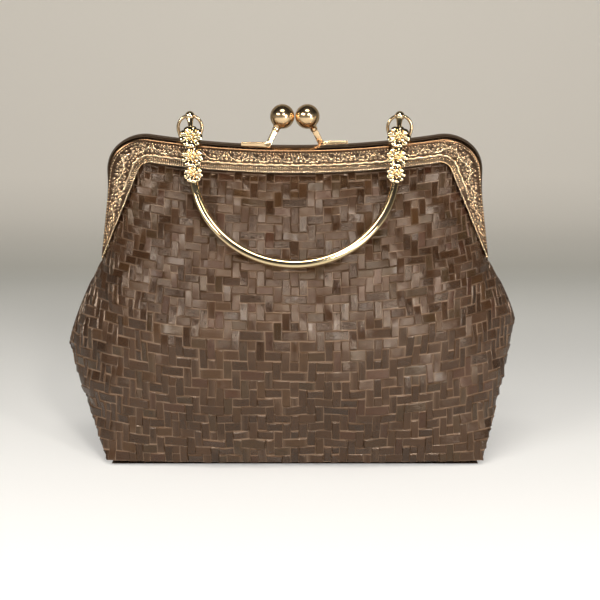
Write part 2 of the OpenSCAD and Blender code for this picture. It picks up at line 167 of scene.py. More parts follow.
def place_object(name: str, data: bpy.types.ID) -> bpy.types.Object:
    """Makes an object and links it into the scene.

    Args:
        name: Name of the object.
        data: Mesh, lamp or camera that it shows.

    Returns:
        The object.
    """
    made = bpy.data.objects.new(name, data)
    bpy.context.collection.objects.link(made)
    return made


def aim(thing: bpy.types.Object, at: Place, to: Place) -> None:
    """Puts a lamp or camera at one place and turns it towards another."""
    thing.location = at
    thing.rotation_euler = (Vector(to) - Vector(at)).to_track_quat("-Z", "Y").to_euler()


class SmoothCurve:
    """Curve through knots that never overshoots them."""

    def __init__(self, knots: list[tuple[float, float]]) -> None:
        """Works out the slope at each knot.

        Args:
            knots: Places and values, in rising order of place.
        """
        self.x = np.array([k[0] for k in knots])
        self.y = np.array([k[1] for k in knots])
        self.step = np.diff(self.x)
        rise = np.diff(self.y) / self.step
        self.slope = np.zeros(len(knots))
        self.slope[0], self.slope[-1] = rise[0], rise[-1]
        for i in range(1, len(knots) - 1):
            if rise[i - 1] * rise[i] > 0.0:
                before = 2.0 * self.step[i] + self.step[i - 1]
                after = self.step[i] + 2.0 * self.step[i - 1]
                self.slope[i] = (before + after) / (before / rise[i - 1] + after / rise[i])

    def at(self, x: Array) -> Array:
        """Gives the curve's values, straight on beyond its ends.

        Args:
            x: Places along the curve.

        Returns:
            Value at each place.
        """
        x = np.asarray(x, dtype=float)
        k = np.clip(np.searchsorted(self.x, x) - 1, 0, len(self.step) - 1)
        h = self.step[k]
        t = np.clip((x - self.x[k]) / h, 0.0, 1.0)
        value = ((2 * t**3 - 3 * t**2 + 1) * self.y[k] + (t**3 - 2 * t**2 + t) * h * self.slope[k]
                 + (3 * t**2 - 2 * t**3) * self.y[k + 1] + (t**3 - t**2) * h * self.slope[k + 1])
        value = value + np.minimum(x - self.x[0], 0.0) * self.slope[0]
        return value + np.maximum(x - self.x[-1], 0.0) * self.slope[-1]


class MeshDraft:
    """Gathers the points, faces and named numbers of one piece, in millimetres.

    Points closer than weld, and faces thinner than sliver, both in metres, are merged when the mesh is built.
    """

    weld: float = 1e-6
    sliver: float = 1e-7

    def __init__(self, name: str) -> None:
        """Starts an empty piece.

        Args:
            name: Name of the piece.
        """
        self.name = name
        self.points: list[Array] = []
        self.quads: list[Array] = []
        self.numbers: list[dict[str, Array]] = []
        self.count = 0

    def add(self, points: Array, quads: Array, numbers: dict[str, Array] | None = None) -> None:
        """Adds a patch of points and faces.

        Args:
            points: Points, three numbers each.
            quads: Four point numbers for each face.
            numbers: Named numbers, one for each point.
        """
        flat = np.asarray(points, dtype=float).reshape(-1, 3)
        self.points.append(flat)
        self.quads.append(np.asarray(quads, dtype=int).reshape(-1, 4) + self.count)
        self.numbers.append({k: np.asarray(v, dtype=float).reshape(-1) for k, v in (numbers or {}).items()})
        self.count += len(flat)

    def grid(self, points: Array, wrap: bool = False, flip: bool = False,
             numbers: dict[str, Array] | None = None) -> None:
        """Adds a patch that is a grid of points.

        Args:
            points: Rows and columns of points.
            wrap: Whether the last column joins the first.
            flip: Whether the faces look the other way.
            numbers: Named numbers in the same rows and columns.
        """
        rows, columns = points.shape[:2]
        index = np.arange(rows * columns).reshape(rows, columns)
        if wrap:
            index = np.concatenate([index, index[:, :1]], axis=1)
        quads = np.stack([index[:-1, :-1], index[:-1, 1:], index[1:, 1:], index[1:, :-1]], axis=-1)
        quads = quads.reshape(-1, 4)
        self.add(points, quads[:, ::-1] if flip else quads, numbers)

    def sweep(self, path: Array, across: Array, up: Array, widths: Array, heights: Array, sides: int = 16,
              power: float = 2.0) -> None:
        """Adds a closed bar along a path, with round or squarish section and closed ends.

        Args:
            path: Points along the middle of the bar.
            across: Direction of the bar's width at each point.
            up: Direction of the bar's height at each point.
            widths: Half of the width at each point.
            heights: Half of the height at each point.
            sides: Points around the section.
            power: 2 for a round section, more for a squarish one.
        """
        turn = around(sides)
        c = np.sign(np.cos(turn)) * np.abs(np.cos(turn)) ** (2.0 / power)
        s = np.sign(np.sin(turn)) * np.abs(np.sin(turn)) ** (2.0 / power)
        ring = (path[:, None, :] + across[:, None, :] * (widths[:, None] * c)[..., None]
                + up[:, None, :] * (heights[:, None] * s)[..., None])
        caps = [np.repeat(path[k][None, None, :], sides, axis=1) for k in (0, -1)]
        self.grid(np.concatenate([caps[0], ring, caps[1]], axis=0), wrap=True)

    def lathe(self, profile: Array, origin: Array, axis: Array, sides: int = 32) -> None:
        """Adds a turned piece.

        Args:
            profile: Places along the axis, and the radius at each.
            origin: Point on the axis that the places are measured from.
            axis: Direction of the axis.
            sides: Points around the axis.
        """
        axis = axis / np.linalg.norm(axis)
        helper = UP if abs(axis[2]) < 0.9 else ACROSS
        u = np.cross(axis, helper)
        u /= np.linalg.norm(u)
        v = np.cross(axis, u)
        turn = around(sides)
        circle = u[None, :] * np.cos(turn)[:, None] + v[None, :] * np.sin(turn)[:, None]
        points = (origin + axis * profile[:, 0, None])[:, None, :] + circle[None] * profile[:, 1, None, None]
        self.grid(points, wrap=True, flip=True)

    def pebble(self, centre: Array, axes: Array, sizes: Array, rings: int = 8, sides: int = 12) -> None:
        """Adds a closed ellipsoid, such as a petal or a bead.

        Args:
            centre: Middle of the pebble.
            axes: Three directions, one in each row.
            sizes: Half lengths along the three directions.
            rings: Steps from pole to pole.
            sides: Points around.
        """
        a = np.linspace(0.0, math.pi, rings + 1)[:, None]
        b = around(sides)[None, :]
        unit = np.stack([np.sin(a) * np.cos(b), np.sin(a) * np.sin(b), np.cos(a) + 0.0 * b], axis=-1)
        self.grid(centre + (unit * sizes) @ axes, wrap=True, flip=True)

    def plain_mesh(self) -> bpy.types.Mesh:
        """Makes a mesh in metres from the gathered points and faces.

        Returns:
            The mesh, without its named numbers.
        """
        mesh = bpy.data.meshes.new(self.name)
        mesh.from_pydata((np.concatenate(self.points) * MM).tolist(), [], np.concatenate(self.quads).tolist())
        return mesh

    @staticmethod
    def smooth(mesh: bpy.types.Mesh) -> None:
        """Shades every face of a mesh smooth."""
        mesh.polygons.foreach_set("use_smooth", np.ones(len(mesh.polygons), dtype=bool))

    def build(self, material: bpy.types.Material, slot: Slot, sharp: float | None = None,
              uv: tuple[str, str] | None = None) -> bpy.types.Object:
        """Turns the gathered patches into a Blender object in metres.

        Args:
            material: Finish of the piece.
            slot: Slot of the record that the finish belongs to. Not used.
            sharp: Degrees beyond which an edge stays sharp, or none for smooth all over.
            uv: Names of the two numbers that become texture coordinates.

        Returns:
            The object, linked into the scene.
        """
        mesh = self.plain_mesh()
        names = sorted({k for patch in self.numbers for k in patch})
        for name in names:
            values = np.concatenate([patch.get(name, np.zeros(len(points)))
                                     for patch, points in zip(self.numbers, self.points)])
            mesh.attributes.new(name, "FLOAT", "POINT").data.foreach_set("value", values)
        work = bmesh.new()
        work.from_mesh(mesh)
        bmesh.ops.remove_doubles(work, verts=work.verts, dist=self.weld)
        bmesh.ops.dissolve_degenerate(work, edges=work.edges, dist=self.sliver)
        work.to_mesh(mesh)
        work.free()
        self.smooth(mesh)
        if sharp is not None:
            mesh.set_sharp_from_angle(angle=math.radians(sharp))
        if uv is not None:
            self.add_uv(mesh, uv)
        piece = place_object(self.name, mesh)
        piece.data.materials.append(material)
        LOG.info("%s: %d faces", self.name, len(mesh.polygons))
        return piece

    @staticmethod
    def add_uv(mesh: bpy.types.Mesh, names: tuple[str, str]) -> None:
        """Writes two named numbers of the points as texture coordinates.

        Args:
            mesh: Mesh that carries the numbers.
            names: Names of the numbers across and up.
        """
        corners = np.zeros(len(mesh.loops), dtype=np.int32)
        mesh.loops.foreach_get("vertex_index", corners)
        pair = []
        for name in names:
            values = np.zeros(len(mesh.vertices), dtype=np.float32)
            mesh.attributes[name].data.foreach_get("value", values)
            pair.append(values[corners])
        layer = mesh.uv_layers.new(name="weave")
        layer.data.foreach_set("uv", np.stack(pair, axis=-1).reshape(-1))


class NodeGraph:
    """Material with a principled shader, and short ways to add nodes to it."""

    def __init__(self, name: str) -> None:
        """Makes the material with its shader and output.

        Args:
            name: Name of the material.
        """
        self.material = bpy.data.materials.new(name)
        self.material.use_nodes = True
        self.tree = self.material.node_tree
        self.tree.nodes.clear()
        self.shader = self.node("ShaderNodeBsdfPrincipled")
        self.node("ShaderNodeOutputMaterial", {"Surface": self.shader.outputs[0]})

    def node(self, kind: str, inputs: dict | None = None, **settings: object) -> bpy.types.Node:
        """Adds a node.

        Args:
            kind: Blender's name for the node.
            inputs: Values or sockets for the node's inputs.
            **settings: Properties of the node.

        Returns:
            The node.
        """
        made = self.tree.nodes.new(kind)
        for key, value in settings.items():
            setattr(made, key, value)
        self.feed(made, inputs or {})
        return made

    def feed(self, target: bpy.types.Node, inputs: dict) -> None:
        """Sets or links inputs of a node.

        Args:
            target: Node whose inputs are set.
            inputs: Values or sockets by input name or number.
        """
        for key, value in inputs.items():
            if isinstance(value, bpy.types.NodeSocket):
                self.tree.links.new(value, target.inputs[key])
            else:
                target.inputs[key].default_value = value

    def place(self, source: str, scale: Place = (1.0, 1.0, 1.0)) -> bpy.types.NodeSocket:
        """Gives scaled coordinates.

        Args:
            source: Output of the texture coordinate node, Object or UV.
            scale: Scale along each direction.

        Returns:
            Socket of the coordinates.
        """
        coords = self.node("ShaderNodeTexCoord")
        return self.node("ShaderNodeMapping", {"Vector": coords.outputs[source], "Scale": scale}).outputs[0]

    def noise(self, vector: bpy.types.NodeSocket, scale: float, detail: float = 3.0,
              rough: float = 0.55) -> bpy.types.NodeSocket:
        """Gives noise from 0 to 1."""
        return self.node("ShaderNodeTexNoise", {"Vector": vector, "Scale": scale, "Detail": detail,
                                                "Roughness": rough}).outputs["Fac"]

    def math(self, operation: str, a: object, b: object = 0.0) -> bpy.types.NodeSocket:
        """Gives the result of one sum."""
        return self.node("ShaderNodeMath", {0: a, 1: b}, operation=operation).outputs[0]

    def span(self, value: object, low: float, high: float, to_low: float, to_high: float) -> bpy.types.NodeSocket:
        """Gives a value moved from one range to another, kept within it."""
        return self.node("ShaderNodeMapRange", {0: value, 1: low, 2: high, 3: to_low, 4: to_high}).outputs[0]

    def mix(self, factor: object, a: object, b: object, blend: str = "MIX") -> bpy.types.NodeSocket:
        """Gives a mix of two colours.

        Args:
            factor: Share of the second colour.
            a: First colour.
            b: Second colour.
            blend: Blender's name for the way of mixing.

        Returns:
            Socket of the mixed colour.
        """
        made = self.node("ShaderNodeMix", data_type="RGBA", blend_type=blend)
        self.feed(made, {0: factor, 6: a, 7: b})
        return made.outputs[2]

    def number(self, name: str) -> bpy.types.NodeSocket:
        """Gives a named number that the mesh carries."""
        return self.node("ShaderNodeAttribute", attribute_name=name).outputs["Fac"]

    def bump(self, height: object, strength: float, distance: float, normal: object = None) -> bpy.types.NodeSocket:
        """Gives a normal that is tilted by a height.

        Args:
            height: Height of the surface.
            strength: How much of the tilt shows.
            distance: Depth of the relief in metres.
            normal: Normal that is tilted, or none for the mesh's own.

        Returns:
            Socket of the normal.
        """
        made = self.node("ShaderNodeBump", {"Height": height, "Strength": strength, "Distance": distance})
        if normal is not None:
            self.feed(made, {"Normal": normal})
        return made.outputs[0]


@dataclass(frozen=True)
class WovenLeatherFinish:
    """Dark brown leather in strips, with lengthwise grain and paler edges, partly wear and partly a painted
    highlight.
    """

    dark: Colour = (0.022, 0.0098, 0.0045, 1.0)
    light: Colour = (0.074, 0.036, 0.0180, 1.0)
    amber: Colour = (0.088, 0.042, 0.015, 1.0)
    olive: Colour = (0.056, 0.038, 0.017, 1.0)
    red: Colour = (0.082, 0.029, 0.018, 1.0)
    # Pale edge colour: partly wear of the leather, partly a painted highlight where edges would catch the light.
    edge_wear_and_highlight: Colour = (0.300, 0.200, 0.134, 1.0)
    sheen: Colour = (1.0, 0.84, 0.70, 1.0)
    roughness: tuple[float, float] = (0.09, 0.19)
    specular: float = 0.75
    coat: tuple[float, float] = (0.08, 0.13)
    streak_relief: tuple[float, float] = (0.45, 0.0003)
    pore_relief: tuple[float, float] = (0.30, 0.00015)

    def material(self) -> bpy.types.Material:
        """Builds the finish, which reads tint, hue, groove and lying from the mesh; groove carries the pale edges
        with their painted highlight.

        Returns:
            The material.
        """
        g = NodeGraph("woven_leather")
        lying = g.number("lying")
        along_u = g.noise(g.place("UV", (0.35, 5.5, 1.0)), 1.0, 4.0, 0.6)
        along_v = g.noise(g.place("UV", (5.5, 0.35, 1.0)), 1.0, 4.0, 0.6)
        streak = g.node("ShaderNodeMix", {0: lying, 2: along_v, 3: along_u}).outputs[0]
        pores = g.noise(g.place("UV"), 2.6, 4.0, 0.65)
        cloud = g.noise(g.place("Object"), 28.0, 2.0)
        hue = g.number("hue")
        colour = g.mix(g.number("tint"), self.dark, self.light)
        colour = g.mix(g.span(hue, 0.91, 0.93, 0.0, 0.75), colour, self.amber)
        colour = g.mix(g.span(g.math("ABSOLUTE", g.math("SUBTRACT", hue, 0.80)), 0.05, 0.04, 0.0, 0.6),
                       colour, self.olive)
        colour = g.mix(g.span(hue, 0.09, 0.07, 0.0, 0.6), colour, self.red)
        colour = g.mix(g.span(streak, 0.40, 0.66, 0.0, 0.75), colour, self.light)
        colour = g.mix(g.span(streak, 0.50, 0.30, 0.0, 0.8), colour, self.dark)
        colour = g.mix(g.span(cloud, 0.35, 0.7, 0.0, 0.35), colour, self.dark)
        # Pale edges between strips: partly wear, partly a painted highlight standing in for edges that catch the
        # light.
        edge = g.math("MULTIPLY", g.number("groove"), g.span(pores, 0.25, 0.65, 0.55, 1.0))
        colour = g.mix(edge, colour, self.edge_wear_and_highlight)
        rough = g.span(g.math("ADD", g.math("MULTIPLY", streak, 0.6), g.math("MULTIPLY", pores, 0.4)),
                       0.3, 0.7, *self.roughness)
        grain = g.bump(streak, *self.streak_relief)
        grain = g.bump(pores, *self.pore_relief, grain)
        g.feed(g.shader, {"Base Color": colour, "Roughness": rough, "Normal": grain,
                          "Specular IOR Level": self.specular, "Specular Tint": self.sheen,
                          "Coat Weight": self.coat[0], "Coat Roughness": self.coat[1]})
        return g.material


@dataclass(frozen=True)
class PlainLeatherFinish:
    """Smooth brown leather of the seams and the edge binding."""

    dark: Colour = (0.048, 0.028, 0.020, 1.0)
    light: Colour = (0.095, 0.058, 0.042, 1.0)
    roughness: tuple[float, float] = (0.42, 0.62)
    relief: tuple[float, float] = (0.4, 0.0002)

    def material(self) -> bpy.types.Material:
        """Builds the finish.

        Returns:
            The material.
        """
        g = NodeGraph("plain_leather")
        pores = g.noise(g.place("Object"), 1500.0, 4.0, 0.6)
        cloud = g.noise(g.place("Object"), 60.0, 3.0)
        g.feed(g.shader, {"Base Color": g.mix(cloud, self.dark, self.light),
                          "Roughness": g.span(pores, 0.3, 0.7, *self.roughness),
                          "Normal": g.bump(pores, *self.relief)})
        return g.material


@dataclass(frozen=True)
class ThreadFinish:
    """Twisted waxed thread."""

    dark: Colour = (0.030, 0.016, 0.010, 1.0)
    light: Colour = (0.110, 0.064, 0.040, 1.0)
    roughness: tuple[float, float] = (0.55, 0.75)
    relief: tuple[float, float] = (0.4, 0.0001)

    def material(self) -> bpy.types.Material:
        """Builds the finish.

        Returns:
            The material.
        """
        g = NodeGraph("waxed_thread")
        twist = g.node("ShaderNodeTexWave", {"Vector": g.place("Object"), "Scale": 700.0,
                                             "Distortion": 1.0}, bands_direction="DIAGONAL").outputs["Fac"]
        g.feed(g.shader, {"Base Color": g.mix(twist, self.dark, self.light),
                          "Roughness": g.span(twist, 0.0, 1.0, *self.roughness),
                          "Normal": g.bump(twist, *self.relief)})
        return g.material


@dataclass(frozen=True)
class GiltFinish:
    """Pale gold plating, with small scuffs and a dark brown patina in its hollows."""

    name: str = "gilt"
    bright: Colour = (0.93, 0.70, 0.43, 1.0)
    warm: Colour = (0.80, 0.53, 0.29, 1.0)
    hollow: Colour = (0.058, 0.022, 0.011, 1.0)
    roughness: tuple[float, float] = (0.13, 0.26)
    scuffs: tuple[float, float] = (0.06, 0.00008)

    def material(self) -> bpy.types.Material:
        """Builds the finish, which reads hollow from the mesh where it is there.

        Returns:
            The material.
        """
        g = NodeGraph(self.name)
        cloud = g.noise(g.place("Object"), 120.0, 4.0)
        scuff = g.noise(g.place("Object"), 1400.0, 3.0, 0.6)
        colour = g.mix(g.span(cloud, 0.35, 0.75, 0.0, 0.45), self.bright, self.warm)
        colour = g.mix(g.number("hollow"), colour, self.hollow)
        g.feed(g.shader, {"Base Color": colour, "Metallic": 1.0,
                          "Roughness": g.span(g.math("ADD", g.math("MULTIPLY", cloud, 0.5),
                                                     g.math("MULTIPLY", scuff, 0.5)), 0.35, 0.65, *self.roughness),
                          "Normal": g.bump(scuff, *self.scuffs)})
        return g.material


@dataclass(frozen=True)
class LiningFinish:
    """Tan cotton twill."""

    dark: Colour = (0.300, 0.205, 0.125, 1.0)
    light: Colour = (0.440, 0.320, 0.205, 1.0)
    roughness: tuple[float, float] = (0.78, 0.92)
    relief: tuple[float, float] = (0.35, 0.00015)

    def material(self) -> bpy.types.Material:
        """Builds the finish, with its twill on the lining's own coordinates.

        Returns:
            The material.
        """
        g = NodeGraph("cotton_lining")
        twill = g.node("ShaderNodeTexWave", {"Vector": g.place("UV"), "Scale": 0.9,
                                             "Distortion": 0.6, "Detail": 1.0}, wave_type="BANDS",
                       bands_direction="DIAGONAL").outputs["Fac"]
        slub = g.noise(g.place("UV", (0.25, 3.0, 1.0)), 1.0, 3.0)
        g.feed(g.shader, {"Base Color": g.mix(g.math("MULTIPLY", g.math("ADD", twill, slub), 0.5),
                                              self.dark, self.light),
                          "Roughness": g.span(slub, 0.3, 0.7, *self.roughness), "Sheen Weight": 0.25,
                          "Normal": g.bump(twill, *self.relief)})
        return g.material


@dataclass(frozen=True)
class BoardFinish:
    """Grey-brown pressed board of the stiff base."""

    dark: Colour = (0.22, 0.17, 0.12, 1.0)
    light: Colour = (0.36, 0.29, 0.21, 1.0)
    roughness: tuple[float, float] = (0.8, 0.95)
    relief: tuple[float, float] = (0.3, 0.0002)

    def material(self) -> bpy.types.Material:
        """Builds the finish.

        Returns:
            The material.
        """
        g = NodeGraph("pressed_board")
        fibre = g.noise(g.place("Object", (300.0, 1400.0, 900.0)), 1.0, 4.0)
        g.feed(g.shader, {"Base Color": g.mix(fibre, self.dark, self.light),
                          "Roughness": g.span(fibre, 0.3, 0.7, *self.roughness),
                          "Normal": g.bump(fibre, *self.relief)})
        return g.material


@dataclass(frozen=True)
class Arch:
    """Outline of the frame: leaning sides, round corners and a swept top."""

    foot_x: float
    lean: float
    corner: float
    sweep: float
    foot_z: float = 106.5
    low: float = 107.6
    sweep_centre: float = 676.2

    def inset(self, by: float) -> "Arch":
        """Gives the same outline drawn further in."""
        return replace(self, foot_x=self.foot_x - by, corner=self.corner - by, sweep=self.sweep + by)

    def right_half(self, counts: tuple[int, int, int]) -> Array:
        """Draws the right half from the foot up to the middle of the top.

        Args:
            counts: Steps along the side, the corner and the top.

        Returns:
            Points across and up.
        """
        a = math.radians(self.lean)
        out, up = np.array([math.cos(a), math.sin(a)]), np.array([-math.sin(a), math.cos(a)])
        start = np.array([self.foot_x, self.foot_z]) - self.corner * out
        away = start - np.array([0.0, self.sweep_centre])
        b = float(away @ up)
        c = float(away @ away) - (self.sweep + self.corner) ** 2
        centre = start + (-b - math.sqrt(b * b - c)) * up
        side_end = centre + self.corner * out
        foot = side_end - up * (side_end[1] - self.low) / up[1]
        to_sweep = np.array([0.0, self.sweep_centre]) - centre
        last = math.atan2(to_sweep[1], to_sweep[0])
        turn = np.linspace(a, last, counts[1] + 1)
        top = centre + self.corner * to_sweep / np.linalg.norm(to_sweep)
        swing = np.linspace(math.asin(top[0] / self.sweep), 0.0, counts[2] + 1)
        t = np.linspace(0.0, 1.0, counts[0] + 1)[:, None]
        return np.concatenate([
            foot + (side_end - foot) * t,
            (centre + self.corner * np.stack([np.cos(turn), np.sin(turn)], axis=-1))[1:],
            np.stack([self.sweep * np.sin(swing), self.sweep_centre - self.sweep * np.cos(swing)], axis=-1)[1:]])

    def whole(self, counts: tuple[int, int, int]) -> Array:
        """Draws the outline from the right foot over the top to the left foot.

        Args:
            counts: Steps along the side, the corner and the half top.

        Returns:
            Points across and up.
        """
        right = self.right_half(counts)
        return np.concatenate([right, right[-2::-1] * np.array([-1.0, 1.0])])


FRAME_ARCH = Arch(foot_x=102.5, lean=7.4, corner=18.0, sweep=514.0)


@dataclass(frozen=True)
class BagShape:
    """Outer form of the leather, in millimetres, with the front drawn at positive depth."""

    base_half: float = 98.0
    base_depth: float = 34.0
    belly_half: float = 120.0
    belly_height: float = 65.0
    belly_depth: float = 53.0
    seam_half: float = 2.1
    seam_run: float = 9.0
    channel: float = 6.2
    frame_half: float = FRAME_ARCH.foot_x
    hinge: float = FRAME_ARCH.foot_z
    top: float = 162.2
    sweep: float = FRAME_ARCH.sweep
    arm_gap: float = 1.0
    arm_lean: float = 23.5
    edge_round: float = 0.95
    upper_round: float = 1.3
    boxy: float = 2.6
    boxier: float = 0.5
    boxier_below: float = 66.0
    boxier_run: float = 36.0
    fullness: float = 0.75
    base_round: float = 3.0
    base_taper: float = 6.0
    base_corner: int = 24
    tuck: float = 1.6
    tuck_below: float = 4.0
    tuck_run: float = 6.0
    side_below: float = 10.0
    side_run: float = 8.0
    middle_gap: float = 0.15
    crowding: float = 0.9
    face_points: int = 240
    side_points: int = 60
    end_rounds: int = 12
    arm: Array = field(default_factory=lambda: replace(FRAME_ARCH, low=FRAME_ARCH.foot_z).right_half((40, 60, 0)))
    middle: SmoothCurve = field(default_factory=lambda: SmoothCurve([
        (0.0, 0.6415), (0.154, 0.858), (0.308, 0.981), (0.382, 1.0), (0.493, 0.953), (0.617, 0.83),
        (0.74, 0.623), (0.851, 0.396), (0.912, 0.22), (0.935, 0.12), (0.98, 0.118), (2.0, 0.118)]))

    def rise(self, x: Array) -> Array:
        """Gives the rise of the swept frame above its middle."""
        return self.sweep - np.sqrt(self.sweep**2 - np.minimum(np.abs(x), self.frame_half) ** 2)

    def edge_half(self, z: Array) -> Array:
        """Gives the half width of the side edge at a height.

        Args:
            z: Heights.

        Returns:
            Half width at each height.
        """
        low = self.base_half + (self.belly_half - self.base_half) * (
            np.maximum(z, 0.0) / self.belly_height) ** self.edge_round
        up = np.clip((z - self.belly_height) / (self.hinge - self.belly_height), 0.0, 1.0)
        high = self.belly_half - (self.belly_half - self.frame_half) * up**self.upper_round
        tucked = self.tuck * ease((z - self.hinge + self.tuck_below) / self.tuck_run)
        inside = np.interp(z, self.arm[:, 1], self.arm[:, 0]) - tucked
        return np.where(z < self.belly_height, low, np.where(z < self.hinge, high - tucked, inside))

    def opening(self, z: Array) -> Array:
        """Gives how far the seam has opened into the frame's channel, from 0 to 1."""
        return np.clip((z - self.hinge + self.seam_run) / self.seam_run, 0.0, 1.0)

    def edge_depth(self, z: Array) -> Array:
        """Gives the half depth of the side edge at a height.

        Args:
            z: Heights.

        Returns:
            Half depth at each height.
        """
        low = self.seam_half + (self.base_depth - self.seam_half) * (1.0 - np.maximum(z, 0.0) / self.belly_height)
        high = self.seam_half + (self.channel - self.seam_half) * ease(self.opening(z))
        return np.where(z < self.belly_height, low, high)

    def bulge_half(self, z: Array) -> Array:
        """Gives the half width of the bulging part at a height.

        Args:
            z: Heights.

        Returns:
            Half width at each height.
        """
        up = self.opening(z)
        inside = self.frame_half - self.arm_gap - (z - self.hinge) * math.tan(math.radians(self.arm_lean))
        return (1.0 - up) * self.edge_half(np.minimum(z, self.hinge)) + up * inside

    def depth(self, x: Array, z: Array, level: Array) -> Array:
        """Gives the depth of the leather.

        Args:
            x: Places across the bag.
            z: Heights of the places.
            level: Heights of the same rows at the bag's middle.

        Returns:
            Depth in front of the bag's middle plane.
        """
        s = np.clip(np.abs(x) / self.bulge_half(z), 0.0, 1.0)
        boxy = self.boxy + self.boxier * ease((self.boxier_below - z) / self.boxier_run)
        share = (1.0 - s**boxy) ** self.fullness
        edge = self.edge_depth(z)
        middle = self.belly_depth * self.middle.at(level / self.top)
        return edge + np.maximum(middle - edge, 0.0) * share

    def half_row(self, level: float) -> Array:
        """Draws one row of the leather from its middle round to the side seam.

        Args:
            level: Height of the row at the bag's middle.

        Returns:
            Points along the row, at positive depth.
        """
        lift = min(max(level / self.top, 0.0), 1.0)
        end = self.base_half
        for _ in range(self.end_rounds):
            end = float(self.edge_half(np.array(level + self.rise(np.array(end)) * lift)))
        t = np.linspace(0.0, 1.0, self.face_points)
        x = end * np.sin(t * math.pi / 2.0) ** self.crowding
        z = level + self.rise(x) * lift
        y = self.depth(x, z, np.full_like(x, level))
        last = float(z[-1])
        tucked = float(ease(np.array((last - self.hinge + self.side_below) / self.side_run)))
        stop = self.middle_gap + tucked * (y[-1] - 2.0 * self.middle_gap)
        side = np.linspace(y[-1], stop, self.side_points)[1:]
        row = np.concatenate([np.stack([x, y, z], axis=-1),
                              np.stack([np.full_like(side, x[-1]), side, np.full_like(side, last)], axis=-1)])
        curl = max(self.base_round - level, 0.0)
        inset = self.base_round - math.sqrt(max(self.base_round**2 - curl**2, 0.0))
        row[:, 1] = np.maximum(row[:, 1] - inset * np.minimum(row[:, 1] / self.base_taper, 1.0), self.middle_gap)
        row[:, 0] -= inset * (row[:, 0] / max(end, 1.0)) ** self.base_corner
        return row


@dataclass(frozen=True)
class SoftShape:
    """The two sides of the slumped bag: the left one is widest lower down than the right one."""

    left: BagShape = field(default_factory=lambda: BagShape(belly_half=122.3, belly_height=58.5))
    right: BagShape = field(default_factory=lambda: BagShape(belly_half=118.8, belly_height=71.5))

    def lay(self, levels: Array, across: Array, shares: bool) -> tuple[Array, Array]:
        """Lays rows of points on the plain leather, from the left seam to the right one.

        Args:
            levels: Height of each row at the bag's middle.
            across: Places along a row from its middle, negative on the left.
            shares: Whether the places are shares of a half row, or millimetres.

        Returns:
            Points at positive depth, and the distance from each to its row's end.
        """
        points = np.zeros((len(levels), len(across), 3))
        spare = np.zeros((len(levels), len(across)))
        for k, level in enumerate(levels):
            for side, form in ((across < 0.0, self.left), (across >= 0.0, self.right)):
                row = form.half_row(float(level))
                arc = distances(row)
                s = np.abs(across[side]) * (arc[-1] if shares else 1.0)
                for axis in range(3):
                    points[k, side, axis] = np.interp(s, arc, row[:, axis])
                spare[k, side] = arc[-1] - s
        points[..., 0] *= np.sign(across)
        return points, spare


